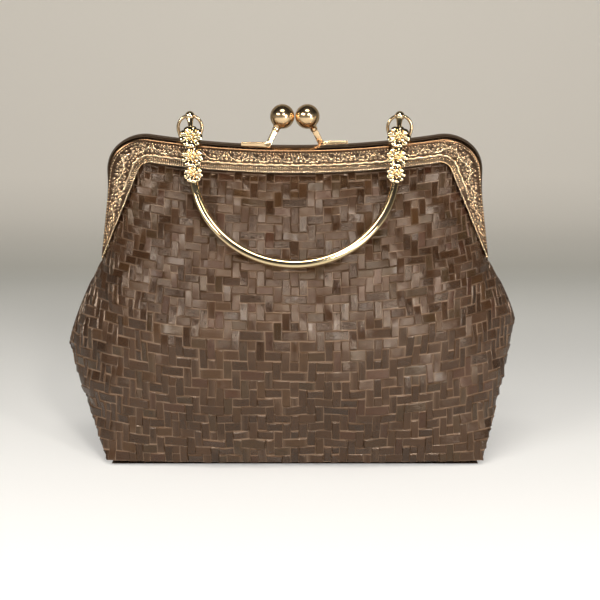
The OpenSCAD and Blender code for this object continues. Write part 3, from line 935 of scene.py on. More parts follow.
@dataclass(frozen=True)
class Weave:
    """Pointed twill of the embossed strips, in millimetres.

    The first number of side_wear_and_highlight and end_wear_and_highlight is for lying strips, the second for
    standing ones. They set how pale the strip edges are: partly wear, partly a painted highlight that is strongest
    on edges running across the bag.
    """

    column: float = 4.3
    row_share: float = 1.14
    narrowing: float = 0.0026
    repeat: int = 10
    float_rows: int = 4
    relief: float = 0.54
    uneven: tuple[float, float] = (0.86, 0.28)
    lowest: float = 0.12
    side_round: float = 0.42
    side_power: float = 2.2
    end_round: float = 0.50
    end_power: float = 2.0
    ragged_side: float = 0.34
    ragged_end: float = 0.40
    tilt: tuple[float, float] = (0.125, 0.25)
    # Width and weights of the pale strip edges, partly wear and partly painted highlight.
    highlight_and_wear_width: float = 0.30
    side_wear_and_highlight: tuple[float, float] = (0.95, 0.62)
    end_wear_and_highlight: tuple[float, float] = (0.62, 1.0)
    rows: SmoothCurve = field(default_factory=lambda: SmoothCurve([
        (-3.0, 163.0), (0.0, 152.4), (4.0, 137.4), (8.0, 121.9), (12.0, 107.2), (16.0, 92.3), (20.0, 74.6),
        (24.0, 54.2), (28.0, 34.7), (32.0, 15.1), (36.0, -5.0)]))

    def arc(self, u: Array) -> Array:
        """Gives the distance round the bag of columns counted from its middle."""
        return self.column * np.abs(u) * (1.0 - self.narrowing * np.abs(u))

    def lying(self, c: Array, r: Array) -> Array:
        """Tells where the lying strip is on top, for columns from the middle and rows from the frame.

        Args:
            c: Columns of the cells.
            r: Rows of the cells.

        Returns:
            Whether each cell shows the lying strip.
        """
        m = (c + self.repeat // 2) % self.repeat
        point = np.minimum(m, self.repeat - m)
        return (r + point) % self.float_rows < self.float_rows // 2

    def extent(self, c: Array, r: Array, across: bool) -> tuple[Array, Array]:
        """Finds how far a visible run of strip reaches on both sides of a cell.

        Args:
            c: Columns of the cells.
            r: Rows of the cells.
            across: Whether runs of lying strips are followed, or of standing ones.

        Returns:
            Cells before and after each cell in the same run.
        """
        reach = []
        for way in (-1, 1):
            count = np.zeros_like(c)
            going = np.ones(c.shape, dtype=bool)
            for step in range(1, self.float_rows):
                near = self.lying(c + way * step, r) if across else ~self.lying(c, r + way * step)
                going = going & near
                count = count + going
            reach.append(count)
        return reach[0], reach[1]

    def relief_at(self, u: Array, v: Array, seed: int) -> dict[str, Array]:
        """Works out the raised strips at places of the weave.

        Args:
            u: Places across in columns, 0 in the middle of the bag.
            v: Places down in rows.
            seed: Number that tells one panel's tints from another's.

        Returns:
            Height in millimetres, and the tint, hue, groove and lying numbers, where groove is the edges' paleness
            with its painted highlight.
        """
        c = np.floor(u + 0.5).astype(int)
        r = np.floor(v + 0.5).astype(int)
        lying = self.lying(c, r)
        left, right = self.extent(c, r, True)
        above, below = self.extent(c, r, False)
        fu, fv = u + 0.5 - c, v + 0.5 - r
        row = self.column * self.row_share
        from_start = np.where(lying, (fu + left) * self.column, (fv + above) * row)
        length = np.where(lying, (1 + left + right) * self.column, (1 + above + below) * row)
        from_side = np.where(lying, fv * row, fu * self.column)
        width = np.where(lying, row, self.column)
        first_c = np.where(lying, c - left, c)
        first_r = np.where(lying, r, r - above)
        lean_a, lean_b, thick, tint, hue, side_a, side_b, end_a, end_b = (
            hashed(first_c, first_r, seed + k) for k in range(9))
        to_side = np.minimum(from_side - self.ragged_side * side_a**2,
                             width - from_side - self.ragged_side * side_b**2)
        to_end = np.minimum(from_start - self.ragged_end * end_a**2,
                            length - from_start - self.ragged_end * end_b**2)
        to_side, to_end = np.maximum(to_side, 0.0), np.maximum(to_end, 0.0)
        side = 1.0 - np.clip(1.0 - to_side / self.side_round, 0.0, 1.0) ** self.side_power
        end = 1.0 - np.clip(1.0 - to_end / self.end_round, 0.0, 1.0) ** self.end_power
        lean = ((from_start - length / 2.0) * self.tilt[0] * (2.0 * lean_a - 1.0)
                + (from_side - width / 2.0) * self.tilt[1] * (2.0 * lean_b - 1.0))
        raised = self.relief * (self.uneven[0] + self.uneven[1] * thick) + lean
        height = side * end * np.maximum(raised, self.lowest)
        # Paler strip edges, partly wear and partly painted highlight: edges running across the bag are painted
        # brightest, as if lit from above.
        by_side = np.clip(1.0 - to_side / self.highlight_and_wear_width, 0.0, 1.0) * np.where(lying, *self.side_wear_and_highlight)
        by_end = np.clip(1.0 - to_end / self.highlight_and_wear_width, 0.0, 1.0) * np.where(lying, *self.end_wear_and_highlight)
        return {"height": height, "tint": tint, "hue": hue, "groove": np.maximum(by_side, by_end),
                "lying": lying.astype(float)}


@dataclass(frozen=True)
class LeatherPanel:
    """One woven half of the bag with its sides and its half of the base, in millimetres.

    The pairs free_depth, crest_run, covered_from and low_paleness_below give where a change starts and the length over which
    it comes in. Each pair of slack is the height and the length of one ripple.
    """

    half: Half
    shape: SoftShape
    weave: Weave
    finish: bpy.types.Material
    across_stops: tuple[float, ...] = (0.0, 0.05, 0.12, 0.5, 0.88, 0.95)
    down_stops: tuple[float, ...] = (0.0, 0.05, 0.13, 0.87, 0.95)
    columns: tuple[int, int] = (-37, 37)
    rows: tuple[int, int] = (-1, 34)
    base_columns: tuple[int, int] = (-22, 22)
    base_rows: tuple[int, int] = (35, 41)
    lowest_row: float = 0.45
    middle_gap: float = 0.12
    free_depth: tuple[float, float] = (7.5, 12.0)
    free_height: float = 14.0
    slack: tuple[tuple[float, float], ...] = ((1.4, 75.0), (0.8, 32.0))
    corner_at: tuple[float, float] = (78.0, 143.0)
    corner_size: tuple[float, float] = (17.0, 15.0)
    pull_way: tuple[float, float] = (0.55, 0.62)
    pull_step: float = 0.42
    pull_shift: float = 0.6
    pull_height: float = 1.5
    crest_low: float = 58.0
    crest_bow: float = 0.0057
    crest_height: float = 2.4
    crest_width: float = 13.0
    crest_shares: tuple[float, float] = (0.3, 0.7)
    crest_run: tuple[float, float] = (8.0, 45.0)
    wobble: float = 0.11
    wobble_size: float = 9.0
    wobble_fade: float = 6.0
    wobble_share: float = 0.8
    covered_share: float = 0.7
    covered_from: tuple[float, float] = (150.5, 3.0)
    edge_fade: float = 2.5
    # Shares that make the strip edges paler towards the bottom of the bag.
    low_paleness_shares: tuple[float, float] = (0.55, 0.40)
    low_paleness_below: tuple[float, float] = (112.0, 50.0)
    outward_from: float = 8.0
    sharp: float = 14.0
    base_inset: float = 1.1
    base_height: float = 0.95
    base_relief: float = 0.8
    base_fade: float = 2.0
    base_lowest: float = 0.05

    @property
    def seed(self) -> int:
        """Gives the number that tells one half's slack and tints from the other's."""
        return 11 if self.half is Half.FRONT else 47

    def lines(self, cells: tuple[int, int], stops: tuple[float, ...]) -> Array:
        """Gives the grid lines of the mesh through a run of cells.

        Args:
            cells: First and last cell.
            stops: Places of the lines within a cell.

        Returns:
            Places of the lines, in cells.
        """
        first, last = cells
        return np.array([k - 0.5 + s for k in range(first, last + 1) for s in stops] + [last + 0.5])

    def soften(self, points: Array) -> Array:
        """Adds slack, pulls under the frame's corners and the belly's crest to the plain leather.

        Args:
            points: Points at positive depth.

        Returns:
            Distance that each point moves outwards.
        """
        x, y, z = points[..., 0], points[..., 1], points[..., 2]
        wide = np.abs(x)
        free = ease((y - self.free_depth[0]) / self.free_depth[1]) * ease(z / self.free_height)
        slack = sum(height * ripple(x, z, size, self.seed + k) for k, (height, size) in enumerate(self.slack))
        corner = np.exp(-(((wide - self.corner_at[0]) / self.corner_size[0]) ** 2)
                        - ((z - self.corner_at[1]) / self.corner_size[1]) ** 2)
        along = (wide * self.pull_way[0] + z * self.pull_way[1]) * self.pull_step
        pulls = np.sin(along + self.pull_shift * np.sign(x)) * self.pull_height * corner
        slope = 2.0 * self.crest_bow * x
        fold = (z - self.crest_low - self.crest_bow * x**2) / np.sqrt(1.0 + slope**2)
        share = self.crest_shares[0] + self.crest_shares[1] * ease((wide - self.crest_run[0]) / self.crest_run[1])
        crest = self.crest_height * np.exp(-((fold / self.crest_width) ** 2)) * share
        return free * (slack + pulls + crest)

    def outwards(self, plain: Array) -> Array:
        """Gives the direction out of the plain leather at each point of its grid.

        Args:
            plain: Rows and columns of points at positive depth.

        Returns:
            Directions of length 1.
        """
        normal = np.cross(np.gradient(plain, axis=0), np.gradient(plain, axis=1))
        size = np.linalg.norm(normal, axis=-1, keepdims=True)
        normal = np.where(size > 1e-9, normal / np.maximum(size, 1e-9), DEEP)
        return np.where((normal[..., 1:2] < 0.0) & (plain[..., 1:2] > self.outward_from), -normal, normal)

    def numbers(self, uu: Array, vv: Array, strips: dict[str, Array], groove: Array) -> dict[str, Array]:
        """Gathers the numbers that the finish reads from the mesh.

        Args:
            uu: Places across, in columns.
            vv: Places down, in rows.
            strips: The weave's numbers at these places.
            groove: How pale the edges between strips are, partly from wear and partly a painted highlight.

        Returns:
            Named numbers, one for each place.
        """
        column = self.weave.column
        return {"tint": strips["tint"], "hue": strips["hue"], "lying": strips["lying"], "groove": groove,
                "u_mm": uu * column, "v_mm": vv * column * self.weave.row_share}

    def build(self) -> bpy.types.Object:
        """Builds the panel.

        Returns:
            The panel, not yet tied to a body.
        """
        u, v = self.lines(self.columns, self.across_stops), self.lines(self.rows, self.down_stops)
        levels = np.maximum(self.weave.rows.at(v), self.lowest_row)
        plain, spare = self.shape.lay(levels, np.sign(u) * self.weave.arc(u), shares=False)
        uu, vv = np.meshgrid(u, v)
        wobble = self.wobble * ripple(uu, vv, self.wobble_size, self.seed + 2)
        wu = uu + wobble * np.clip(spare / self.wobble_fade, 0.0, 1.0)
        strips = self.weave.relief_at(uu, vv, self.seed)
        below_frame = plain[..., 2] - self.shape.right.rise(plain[..., 0])
        covered = 1.0 - self.covered_share * ease((below_frame - self.covered_from[0]) / self.covered_from[1])
        fade = ease(spare / self.edge_fade) * covered
        height = strips["height"] * fade + self.soften(plain)
        shift = (wu - uu)[..., None] * self.weave.column * ACROSS
        points = plain + self.outwards(plain) * height[..., None] + shift * fade[..., None] * self.wobble_share
        points[..., 1] = np.maximum(points[..., 1], self.middle_gap)
        points[..., 1] *= self.half.value
        # Strip edges are made paler towards the bottom of the bag.
        low_paleness = self.low_paleness_shares[0] + self.low_paleness_shares[1] * ease(
            (self.low_paleness_below[0] - plain[..., 2]) / self.low_paleness_below[1])
        draft = MeshDraft(self.half.word + "_leather")
        draft.grid(points, flip=self.half is Half.BACK,
                   numbers=self.numbers(uu, vv, strips, strips["groove"] * fade * low_paleness))
        self.add_base(draft)
        return draft.build(self.finish, Slot.LEATHER, sharp=self.sharp, uv=("u_mm", "v_mm"))

    def add_base(self, draft: MeshDraft) -> None:
        """Adds this half of the base, woven like the sides.

        Args:
            draft: Piece that the base belongs to.
        """
        shape, weave = self.shape.right, self.weave
        uu, vv = np.meshgrid(self.lines(self.base_columns, self.across_stops),
                             self.lines(self.base_rows, self.down_stops))
        strips = weave.relief_at(uu, vv, self.seed)
        edge_x, edge_y = shape.base_half - self.base_inset, shape.base_depth - self.base_inset
        x = np.clip(uu * weave.column, -edge_x, edge_x)
        down = (vv - self.base_rows[0] + 0.5) * weave.column * weave.row_share
        y = np.clip(edge_y - down, self.middle_gap, edge_y)
        spare = np.minimum(edge_x - np.abs(x), edge_y - y)
        z = self.base_height - self.base_relief * strips["height"] * ease(spare / self.base_fade)
        points = np.stack([x, y * self.half.value, np.maximum(z, self.base_lowest)], axis=-1)
        # The base's strip edges get the same paleness and painted highlight.
        draft.grid(points, flip=self.half is Half.BACK, numbers=self.numbers(uu, vv, strips, strips["groove"]))


@dataclass(frozen=True)
class SideSeam:
    """Leather welt and its two rows of stitches along one side of the bag, in millimetres."""

    side: Side
    shape: SoftShape
    leather: bpy.types.Material
    thread: bpy.types.Material
    heights: tuple[float, float] = (1.6, 95.5)
    sunk: float = 0.25
    steps: int = 90
    welt: float = 0.75
    taper: tuple[float, ...] = (0.2, 0.45, 0.6, 0.7)
    first_stitch: float = 5.0
    stitch_step: float = 3.0
    stitch_off: float = 1.65
    stitch_lift: float = 0.42
    stitch: tuple[float, float, float] = (0.24, 0.24, 1.05)

    def line(self) -> Array:
        """Draws the seam from the base up to the hinge.

        Returns:
            Points along the seam.
        """
        form = self.shape.left if self.side is Side.LEFT else self.shape.right
        z = np.linspace(*self.heights, self.steps)
        x = form.edge_half(z) - self.sunk
        return np.stack([x * self.side.value, np.zeros(self.steps), z], axis=-1)

    def build(self) -> list[bpy.types.Object]:
        """Builds the welt and the stitches.

        Returns:
            The two pieces, not yet tied to a body.
        """
        path = self.line()
        along = directions(path)
        deep = np.tile(DEEP, (self.steps, 1))
        thin = np.full(self.steps, self.welt)
        count = len(self.taper)
        thin[:count], thin[-count:] = self.taper, self.taper[::-1]
        welt = MeshDraft(self.side.word + "_seam_welt")
        welt.sweep(path, deep, np.cross(deep, along), thin, thin, sides=14)
        stitches = MeshDraft(self.side.word + "_seam_stitches")
        run = distances(path)
        for s in np.arange(self.first_stitch, run[-1] - self.stitch_step, self.stitch_step):
            at = np.array([np.interp(s, run, path[:, k]) for k in range(3)])
            way = np.array([np.interp(s, run, along[:, k]) for k in range(3)])
            axes = np.stack([DEEP, np.cross(way, DEEP), way])
            for depth in (-self.stitch_off, self.stitch_off):
                lift = np.array([self.side.value * self.stitch_lift, depth, 0.0])
                stitches.pebble(at + lift, axes, np.array(self.stitch), rings=6, sides=8)
        return [welt.build(self.leather, Slot.LEATHER), stitches.build(self.thread, Slot.LEATHER)]


@dataclass(frozen=True)
class LiningHalf:
    """Cotton lining of one half of the bag, in millimetres.

    free_depth gives where the slack starts and the length over which it comes in. slack is the height and the length
    of its ripple.
    """

    half: Half
    shape: SoftShape
    finish: bpy.types.Material
    inset: float = 2.9
    edge_inset: float = 1.7
    floor: float = 4.6
    upper: tuple[float, float, float] = (148.0, 149.0, 157.5)
    row_counts: tuple[int, int] = (76, 7)
    columns: int = 121
    free_depth: tuple[float, float] = (8.0, 10.0)
    fall: float = 0.9
    slack: tuple[float, float] = (0.8, 45.0)
    pleat: float = 0.4
    pleat_way: tuple[float, float] = (0.28, 0.03)
    closed_share: float = 0.75
    closed_depth: float = 0.35
    floor_shares: tuple[float, ...] = (0.01, 0.25, 0.5, 0.75)
    cloth_half: float = 120.0
    cloth_step: float = 2.0

    def build(self) -> tuple[bpy.types.Object, float]:
        """Builds the lining as one soft sheet.

        Returns:
            The lining, and its area in square metres.
        """
        last, first, top = self.upper
        levels = np.concatenate([np.linspace(self.floor, last, self.row_counts[0]),
                                 np.linspace(first, top, self.row_counts[1])])
        t = np.linspace(-1.0, 1.0, self.columns)
        plain, _ = self.shape.lay(levels, t, shares=True)
        x, y, z = plain[..., 0], plain[..., 1], plain[..., 2]
        seed = 5 if self.half is Half.FRONT else 9
        free = ease((y - self.free_depth[0]) / self.free_depth[1])
        pleats = self.pleat * np.sin(x * self.pleat_way[0] + self.pleat_way[1] * z)
        slack = free * (self.fall + self.slack[0] * ripple(x, z, self.slack[1], seed) + pleats)
        wide = np.where(x < 0.0, self.shape.left.edge_half(z), self.shape.right.edge_half(z))
        narrow = np.maximum(wide - self.inset, 1.0) / np.maximum(wide, 1.0)
        y = np.maximum(y - self.edge_inset - (self.inset - self.edge_inset) * free - slack,
                       np.minimum(y * self.closed_share, self.closed_depth))
        wall = np.stack([x * narrow, y * self.half.value, z], axis=-1)
        floor = [np.stack([wall[0, :, 0], wall[0, :, 1] * share, np.full(len(t), self.floor)], axis=-1)
                 for share in self.floor_shares]
        points = np.concatenate([np.stack(floor), wall], axis=0)
        uu, vv = np.meshgrid(t * self.cloth_half, np.arange(len(points)) * self.cloth_step)
        draft = MeshDraft(self.half.word + "_lining_cloth")
        draft.grid(points, flip=self.half is Half.FRONT, numbers={"u_mm": uu, "v_mm": vv})
        piece = draft.build(self.finish, Slot.LINING, uv=("u_mm", "v_mm"))
        return piece, sum(p.area for p in piece.data.polygons)


@dataclass(frozen=True)
class Scroll:
    """Running scroll of the stamped face: a vine with flowers, leaves and spiral tendrils in each repeat.

    Each flower has its place, radius and petals, each leaf its place, tilt, length and width, and each tendril its
    place, size and sense of turning.
    """

    period: float = 11.0
    vine_swing: float = 1.75
    vine_width: float = 0.34
    vine_height: float = 0.75
    flowers: tuple[tuple[float, float, float, int], ...] = (
        (0.0, -0.75, 1.9, 5), (5.0, 3.3, 1.2, 6), (-5.0, -4.2, 1.4, 6), (0.0, -4.4, 1.2, 6), (-4.4, 5.2, 1.2, 5))
    leaves: tuple[tuple[float, float, float, float, float], ...] = (
        (-3.0, 1.9, 0.5, 1.5, 0.62), (3.1, 1.9, -0.5, 1.5, 0.62), (0.0, 2.3, 0.0, 1.4, 0.5),
        (-1.9, 3.4, 0.9, 1.3, 0.5), (1.9, 3.4, -0.9, 1.3, 0.5))
    tendrils: tuple[tuple[float, float, float, float], ...] = (
        (-3.9, -1.3, 1.5, 1.0), (3.9, -1.3, 1.5, -1.0), (-2.7, -4.0, 1.3, -1.0), (2.9, -4.2, 1.3, 1.0),
        (0.0, 4.9, 1.3, 1.0))
    petal_rim: tuple[float, float] = (0.80, 0.20)
    petal_height: tuple[float, float] = (0.62, 0.38)
    petal_foot: tuple[float, float] = (0.35, 0.3)
    button: float = 0.30
    leaf_edge: float = 1.6
    leaf_round: float = 0.6
    leaf_height: tuple[float, float] = (0.72, 0.28)
    leaf_vein: float = 0.25
    tendril_turns: float = 1.6
    tendril_width: float = 0.17
    tendril_fade: float = 0.25
    tendril_height: float = 0.85

    def flower(self, dx: Array, dy: Array, radius: float, petals: int) -> Array:
        """Draws one flower with a button.

        Args:
            dx: Distance along the face from the flower's middle.
            dy: Distance across the face from the flower's middle.
            radius: Reach of the petals.
            petals: Number of petals.

        Returns:
            Height from 0 to 1.
        """
        dist = np.hypot(dx, dy)
        lobe = np.cos(petals * np.arctan2(dy, dx))
        rim = radius * (self.petal_rim[0] + self.petal_rim[1] * lobe)
        petal = np.clip(1.0 - (dist / rim) ** 4, 0.0, 1.0) * (self.petal_height[0] + self.petal_height[1] * lobe)
        foot = np.clip(dist / (self.petal_foot[0] * radius), self.petal_foot[1], 1.0)
        return np.maximum(petal * foot, dome(dist / (self.button * radius)))

    def leaf(self, dx: Array, dy: Array, tilt: float, length: float, width: float) -> Array:
        """Draws one leaf with a vein.

        Args:
            dx: Distance along the face from the leaf's middle.
            dy: Distance across the face from the leaf's middle.
            tilt: Turn of the leaf in radians.
            length: Half of its length.
            width: Half of its width.

        Returns:
            Height from 0 to 1.
        """
        ca, sa = math.cos(tilt), math.sin(tilt)
        a, b = (dx * ca + dy * sa) / length, (-dx * sa + dy * ca) / width
        blade = np.clip(1.0 - a * a - np.abs(b) ** self.leaf_edge, 0.0, 1.0) ** self.leaf_round
        vein = np.clip(np.abs(b) / self.leaf_vein, 0.0, 1.0)
        return blade * (self.leaf_height[0] + self.leaf_height[1] * vein)

    def tendril(self, dx: Array, dy: Array, size: float) -> Array:
        """Draws one spiral tendril.

        Args:
            dx: Distance along the face from the spiral's middle.
            dy: Distance across the face from the spiral's middle.
            size: Reach of the spiral.

        Returns:
            Height from 0 to 1.
        """
        dist = np.hypot(dx, dy)
        turn = np.arctan2(dy, dx) / TURN
        arm = np.abs((dist / size * self.tendril_turns - turn + 0.5) % 1.0 - 0.5)
        fade = np.clip((size - dist) / (self.tendril_fade * size), 0.0, 1.0)
        return np.exp(-((arm / self.tendril_width) ** 2)) * fade * self.tendril_height

    def relief(self, t: Array, p: Array) -> Array:
        """Draws the whole scroll.

        Args:
            t: Distance along the face.
            p: Distance from the middle of the ornament band.

        Returns:
            Height from 0 to 1.
        """
        k = np.floor(t / self.period)
        local = t - (k + 0.5) * self.period
        q = p * np.where(k % 2 == 0, 1.0, -1.0)
        vine_at = self.vine_swing * np.sin(TURN * t / (2.0 * self.period))
        shapes = [np.exp(-(((p - vine_at) / self.vine_width) ** 2)) * self.vine_height]
        shapes += [self.flower(local - x, q - y, *rest) for x, y, *rest in self.flowers]
        shapes += [self.leaf(local - x, q - y, *rest) for x, y, *rest in self.leaves]
        shapes += [self.tendril((local - x) * way, q - y, size) for x, y, size, way in self.tendrils]
        return np.maximum.reduce(shapes)


@dataclass(frozen=True)
class FrameFace:
    """Stamped face of one half of the frame: scrolls, a smooth rib, a fluted band, a rope rim and beads.

    Sizes are in millimetres. top_from and shoulder_from give the height where a change starts and the length over
    which it comes in. rib_wave is the height and the length of the rib's wave.
    """

    half: Half
    finish: bpy.types.Material
    scroll: Scroll = Scroll()
    outer: Arch = FRAME_ARCH
    inner: Arch = Arch(101.9, 23.5, 6.0, 524.5)
    counts: tuple[int, int, int] = (250, 140, 430)
    rows: int = 42
    face: float = 8.02
    ground: float = 0.42
    top_from: tuple[float, float] = (139.0, 11.0)
    margin: float = 1.0
    margin_run: float = 0.5
    band: tuple[float, float] = (2.0, 1.9)
    band_room: float = 3.9
    fineness: float = 1.7
    scroll_height: float = 0.85
    stipple: float = 0.12
    stipple_scale: float = 2.4
    stipple_size: float = 1.7
    rib_at: float = 3.95
    rib_half: float = 0.62
    rib_height: float = 0.75
    rib_wave: tuple[float, float] = (0.18, 5.5)
    flute_at: float = 2.05
    flute_half: float = 1.05
    flute_step: float = 1.05
    flute_power: float = 2.5
    flute_height: float = 0.45
    rope_at: float = 0.42
    rope_half: float = 0.44
    rope_height: float = 0.5
    rope_step: float = 1.25
    rope_shares: tuple[float, float] = (0.58, 0.42)
    rim_at: float = 0.42
    rim_half: float = 0.46
    rim_height: float = 0.20
    patina: float = 0.95
    patina_fall: float = 1.7
    flute_patina: float = 0.60
    shoulder_counts: tuple[int, int, int] = (90, 60, 160)
    shoulder: float = 3.4
    shoulder_low: float = 0.4
    shoulder_from: tuple[float, float] = (136.0, 28.0)
    shoulder_depths: tuple[float, float] = (8.0, 0.25)
    shoulder_ridges: tuple[float, float] = (0.035, 18.0)
    shoulder_steps: int = 25
    bead_counts: tuple[int, int, int] = (400, 200, 700)
    bead_inset: float = 0.55
    bead_step: float = 1.57
    bead_margin: float = 5.0
    bead_height: float = 0.82
    bead_radius: float = 0.46

    def build_face(self) -> bpy.types.Object:
        """Builds the stamped relief.

        Returns:
            The face, not yet tied to a body.
        """
        outer, inner = self.outer.whole(self.counts), self.inner.whole(self.counts)
        w = np.concatenate([[0.0], np.linspace(0.0, 1.0, self.rows), [1.0]])
        flat = outer[None] * (1.0 - w)[:, None, None] + inner[None] * w[:, None, None]
        width = np.linalg.norm(outer - inner, axis=1)[None, :]
        middle = (outer + inner) / 2.0
        t = distances(middle)[None, :]
        t = t - t[:, -1:] / 2.0
        p = w[:, None] * width
        q = width - p
        top = ease((middle[:, 1] - self.top_from[0]) / self.top_from[1])[None, :]
        wave = self.rib_wave[0] * np.sin(TURN * t / self.rib_wave[1])
        rib = dome((q - self.rib_at - wave) / self.rib_half) * self.rib_height * top
        flute = (0.5 + 0.5 * np.cos(TURN * t / self.flute_step)) ** self.flute_power * np.clip(
            1.0 - (np.abs(q - self.flute_at) / self.flute_half) ** 4, 0.0, 1.0) * top
        rope = dome((q - self.rope_at) / self.rope_half) * self.rope_height
        rope = rope * (self.rope_shares[0] + self.rope_shares[1] * np.cos(TURN * t / self.rope_step))
        rim = dome((p - self.rim_at) / self.rim_half) * self.rim_height
        relief = self.ornament(t, p, width, top)
        height = self.ground + np.maximum.reduce(
            [self.scroll_height * relief, rib, self.flute_height * flute, rope, rim])
        height[0, :] = height[-1, :] = 0.0
        raised = np.maximum.reduce([relief, rib * 2.0, self.flute_patina * flute, rope * 2.0])
        hollow = np.clip(self.patina - self.patina_fall * raised, 0.0, self.patina)
        points = np.stack([flat[..., 0], (self.face + height) * self.half.value, flat[..., 1]], axis=-1)
        draft = MeshDraft(self.half.word + "_frame_relief")
        draft.grid(points, flip=self.half is Half.FRONT, numbers={"hollow": hollow})
        return draft.build(self.finish, Slot.GILT)

    def ornament(self, t: Array, p: Array, width: Array, top: Array) -> Array:
        """Draws the scrolls on their stippled ground, kept off the rims and the fluted band.

        Args:
            t: Distance along the face.
            p: Distance in from the face's outer edge.
            width: Width of the face.
            top: 1 along the frame's top, and 0 on its arms.

        Returns:
            Height from 0 to 1.
        """
        q = width - p
        room = (ease((p - self.margin) / self.margin_run)
                * ease((q - self.margin - self.band_room * top) / self.margin_run))
        band = self.band[0] + self.band[1] * top
        centre = np.clip(width - self.margin - band, 0.0, None) / 2.0
        scroll = self.scroll.relief(t * self.fineness, (p - self.margin - centre) * self.fineness)
        stipple = self.stipple * ripple(t * self.stipple_scale, p * self.stipple_scale, self.stipple_size, 3)
        return np.maximum(scroll, stipple) * room

    def build_shoulder(self, finish: bpy.types.Material) -> bpy.types.Object:
        """Builds the rounded shoulder between the face and the seam of the two halves.

        Args:
            finish: Gilt painted dark, whose colour stands in for the dark reflection of the overhead room.

        Returns:
            The shoulder, not yet tied to a body.
        """
        line = self.outer.whole(self.shoulder_counts)
        along = directions(line)
        out = np.stack([along[:, 1], -along[:, 0]], axis=-1)
        low, outside, inside = self.shoulder_low, *self.shoulder_depths
        tall = low + (self.shoulder - low) * ease((line[:, 1] - self.shoulder_from[0]) / self.shoulder_from[1])
        turn = np.linspace(0.0, math.pi / 2.0, self.shoulder_steps)
        ridge = 1.0 + self.shoulder_ridges[0] * np.cos(self.shoulder_ridges[1] * turn)
        rise = np.concatenate([[-low], np.sin(turn) * ridge, [-low]])
        depth = np.concatenate([[outside], outside - (outside - inside) * (1.0 - np.cos(turn)), [inside]])
        off = np.where(rise[:, None] < 0.0, rise[:, None], rise[:, None] * tall[None, :])
        flat = line[None] + out[None] * off[..., None]
        points = np.stack([flat[..., 0], np.repeat(depth[:, None], len(line), axis=1) * self.half.value,
                           flat[..., 1]], axis=-1)
        draft = MeshDraft(self.half.word + "_frame_shoulder")
        draft.grid(points, flip=self.half is Half.BACK)
        return draft.build(finish, Slot.GILT, sharp=60.0)

    def build_beads(self) -> bpy.types.Object:
        """Builds the row of beads along the outer rim.

        Returns:
            The beads, not yet tied to a body.
        """
        line = self.outer.inset(self.bead_inset).whole(self.bead_counts)
        arc = distances(line)
        y = (self.face + self.bead_height) * self.half.value
        draft = MeshDraft(self.half.word + "_frame_beads")
        for s in np.arange(self.bead_margin, arc[-1] - self.bead_margin, self.bead_step):
            x, z = np.interp(s, arc, line[:, 0]), np.interp(s, arc, line[:, 1])
            draft.pebble(np.array([x, y, z]), np.eye(3), np.full(3, self.bead_radius))
        return draft.build(self.finish, Slot.GILT)


@dataclass(frozen=True)
class Clasp:
    """Half of the ball clasp: a foot on the frame, a bent arm and a ball."""

    ball: Place = (-6.55, 0.0, 180.5)
    radius: float = 6.4
    foot: tuple[float, float] = (-28.0, -14.4)
    foot_y: float = -4.0
    foot_z: float = 165.3
    heel_run: float = 4.0
    before_bend: tuple[float, float] = (3.4, 1.0)
    bend_rise: float = 0.25
    after_bend: tuple[float, float] = (1.5, 4.0)
    before_ball: tuple[float, float] = (8.2, 3.0)
    foot_lean: float = 0.16
    lean_run: float = 4.0
    steps: int = 72
    strap: tuple[float, float] = (0.75, 2.25)
    slimmer: tuple[float, float] = (0.15, 0.75)
    slim_from: tuple[float, float] = (0.5, 5.0)
    collar_off: float = 7.3
    collar: tuple[tuple[float, float], ...] = (
        (-1.3, 0.0), (-1.3, 1.55), (-0.8, 1.85), (-0.2, 1.9), (0.4, 1.8), (0.9, 2.1), (1.6, 2.7), (2.4, 3.2))

    def build(self, half: Half, finish: bpy.types.Material) -> list[bpy.types.Object]:
        """Builds the arm and the ball of one half.

        Args:
            half: Half of the frame that carries the clasp.
            finish: Gilt.

        Returns:
            The arm and the ball, not yet tied to a body.
        """
        turn = np.array([-half.value, -half.value, 1.0])
        ball = np.array(self.ball)
        heel = np.array([self.foot[0], self.foot_y, self.foot_z])
        bend = np.array([self.foot[1], self.foot_y, self.foot_z])
        way = (ball - bend) / np.linalg.norm(ball - bend)
        knots = np.array([heel, heel + self.heel_run * ACROSS, bend - self.before_bend[0] * ACROSS,
                          bend - self.before_bend[1] * ACROSS + self.bend_rise * UP,
                          bend + way * self.after_bend[0], bend + way * self.after_bend[1],
                          ball - way * self.before_ball[0], ball - way * self.before_ball[1]])
        arc = distances(knots)
        s = np.linspace(0.0, arc[-1], self.steps)
        path = np.stack([SmoothCurve(list(zip(arc, knots[:, k]))).at(s) for k in range(3)], axis=-1)
        tangent = directions(path)
        facing = np.cross(tangent, DEEP)
        facing -= self.foot_lean * DEEP * (1.0 - ease((s - arc[2]) / self.lean_run))[:, None]
        facing /= np.linalg.norm(facing, axis=1, keepdims=True)
        thick = np.cross(facing, tangent)
        slim = ease((s - arc[2] - self.slim_from[0]) / self.slim_from[1])
        draft = MeshDraft(half.word + "_clasp_strap")
        draft.sweep(path * turn, thick * turn, facing * turn, self.strap[0] + self.slimmer[0] * slim,
                    self.strap[1] - self.slimmer[1] * slim, sides=28, power=6.0)
        draft.lathe(np.array(self.collar), (ball - way * self.collar_off) * turn, way * turn)
        arm = draft.build(finish, Slot.GILT, sharp=50.0)
        sphere = MeshDraft(half.word + "_clasp_knob")
        sphere.pebble(ball * turn, np.eye(3), np.full(3, self.radius), rings=40, sides=64)
        return [arm, sphere.build(finish, Slot.GILT)]


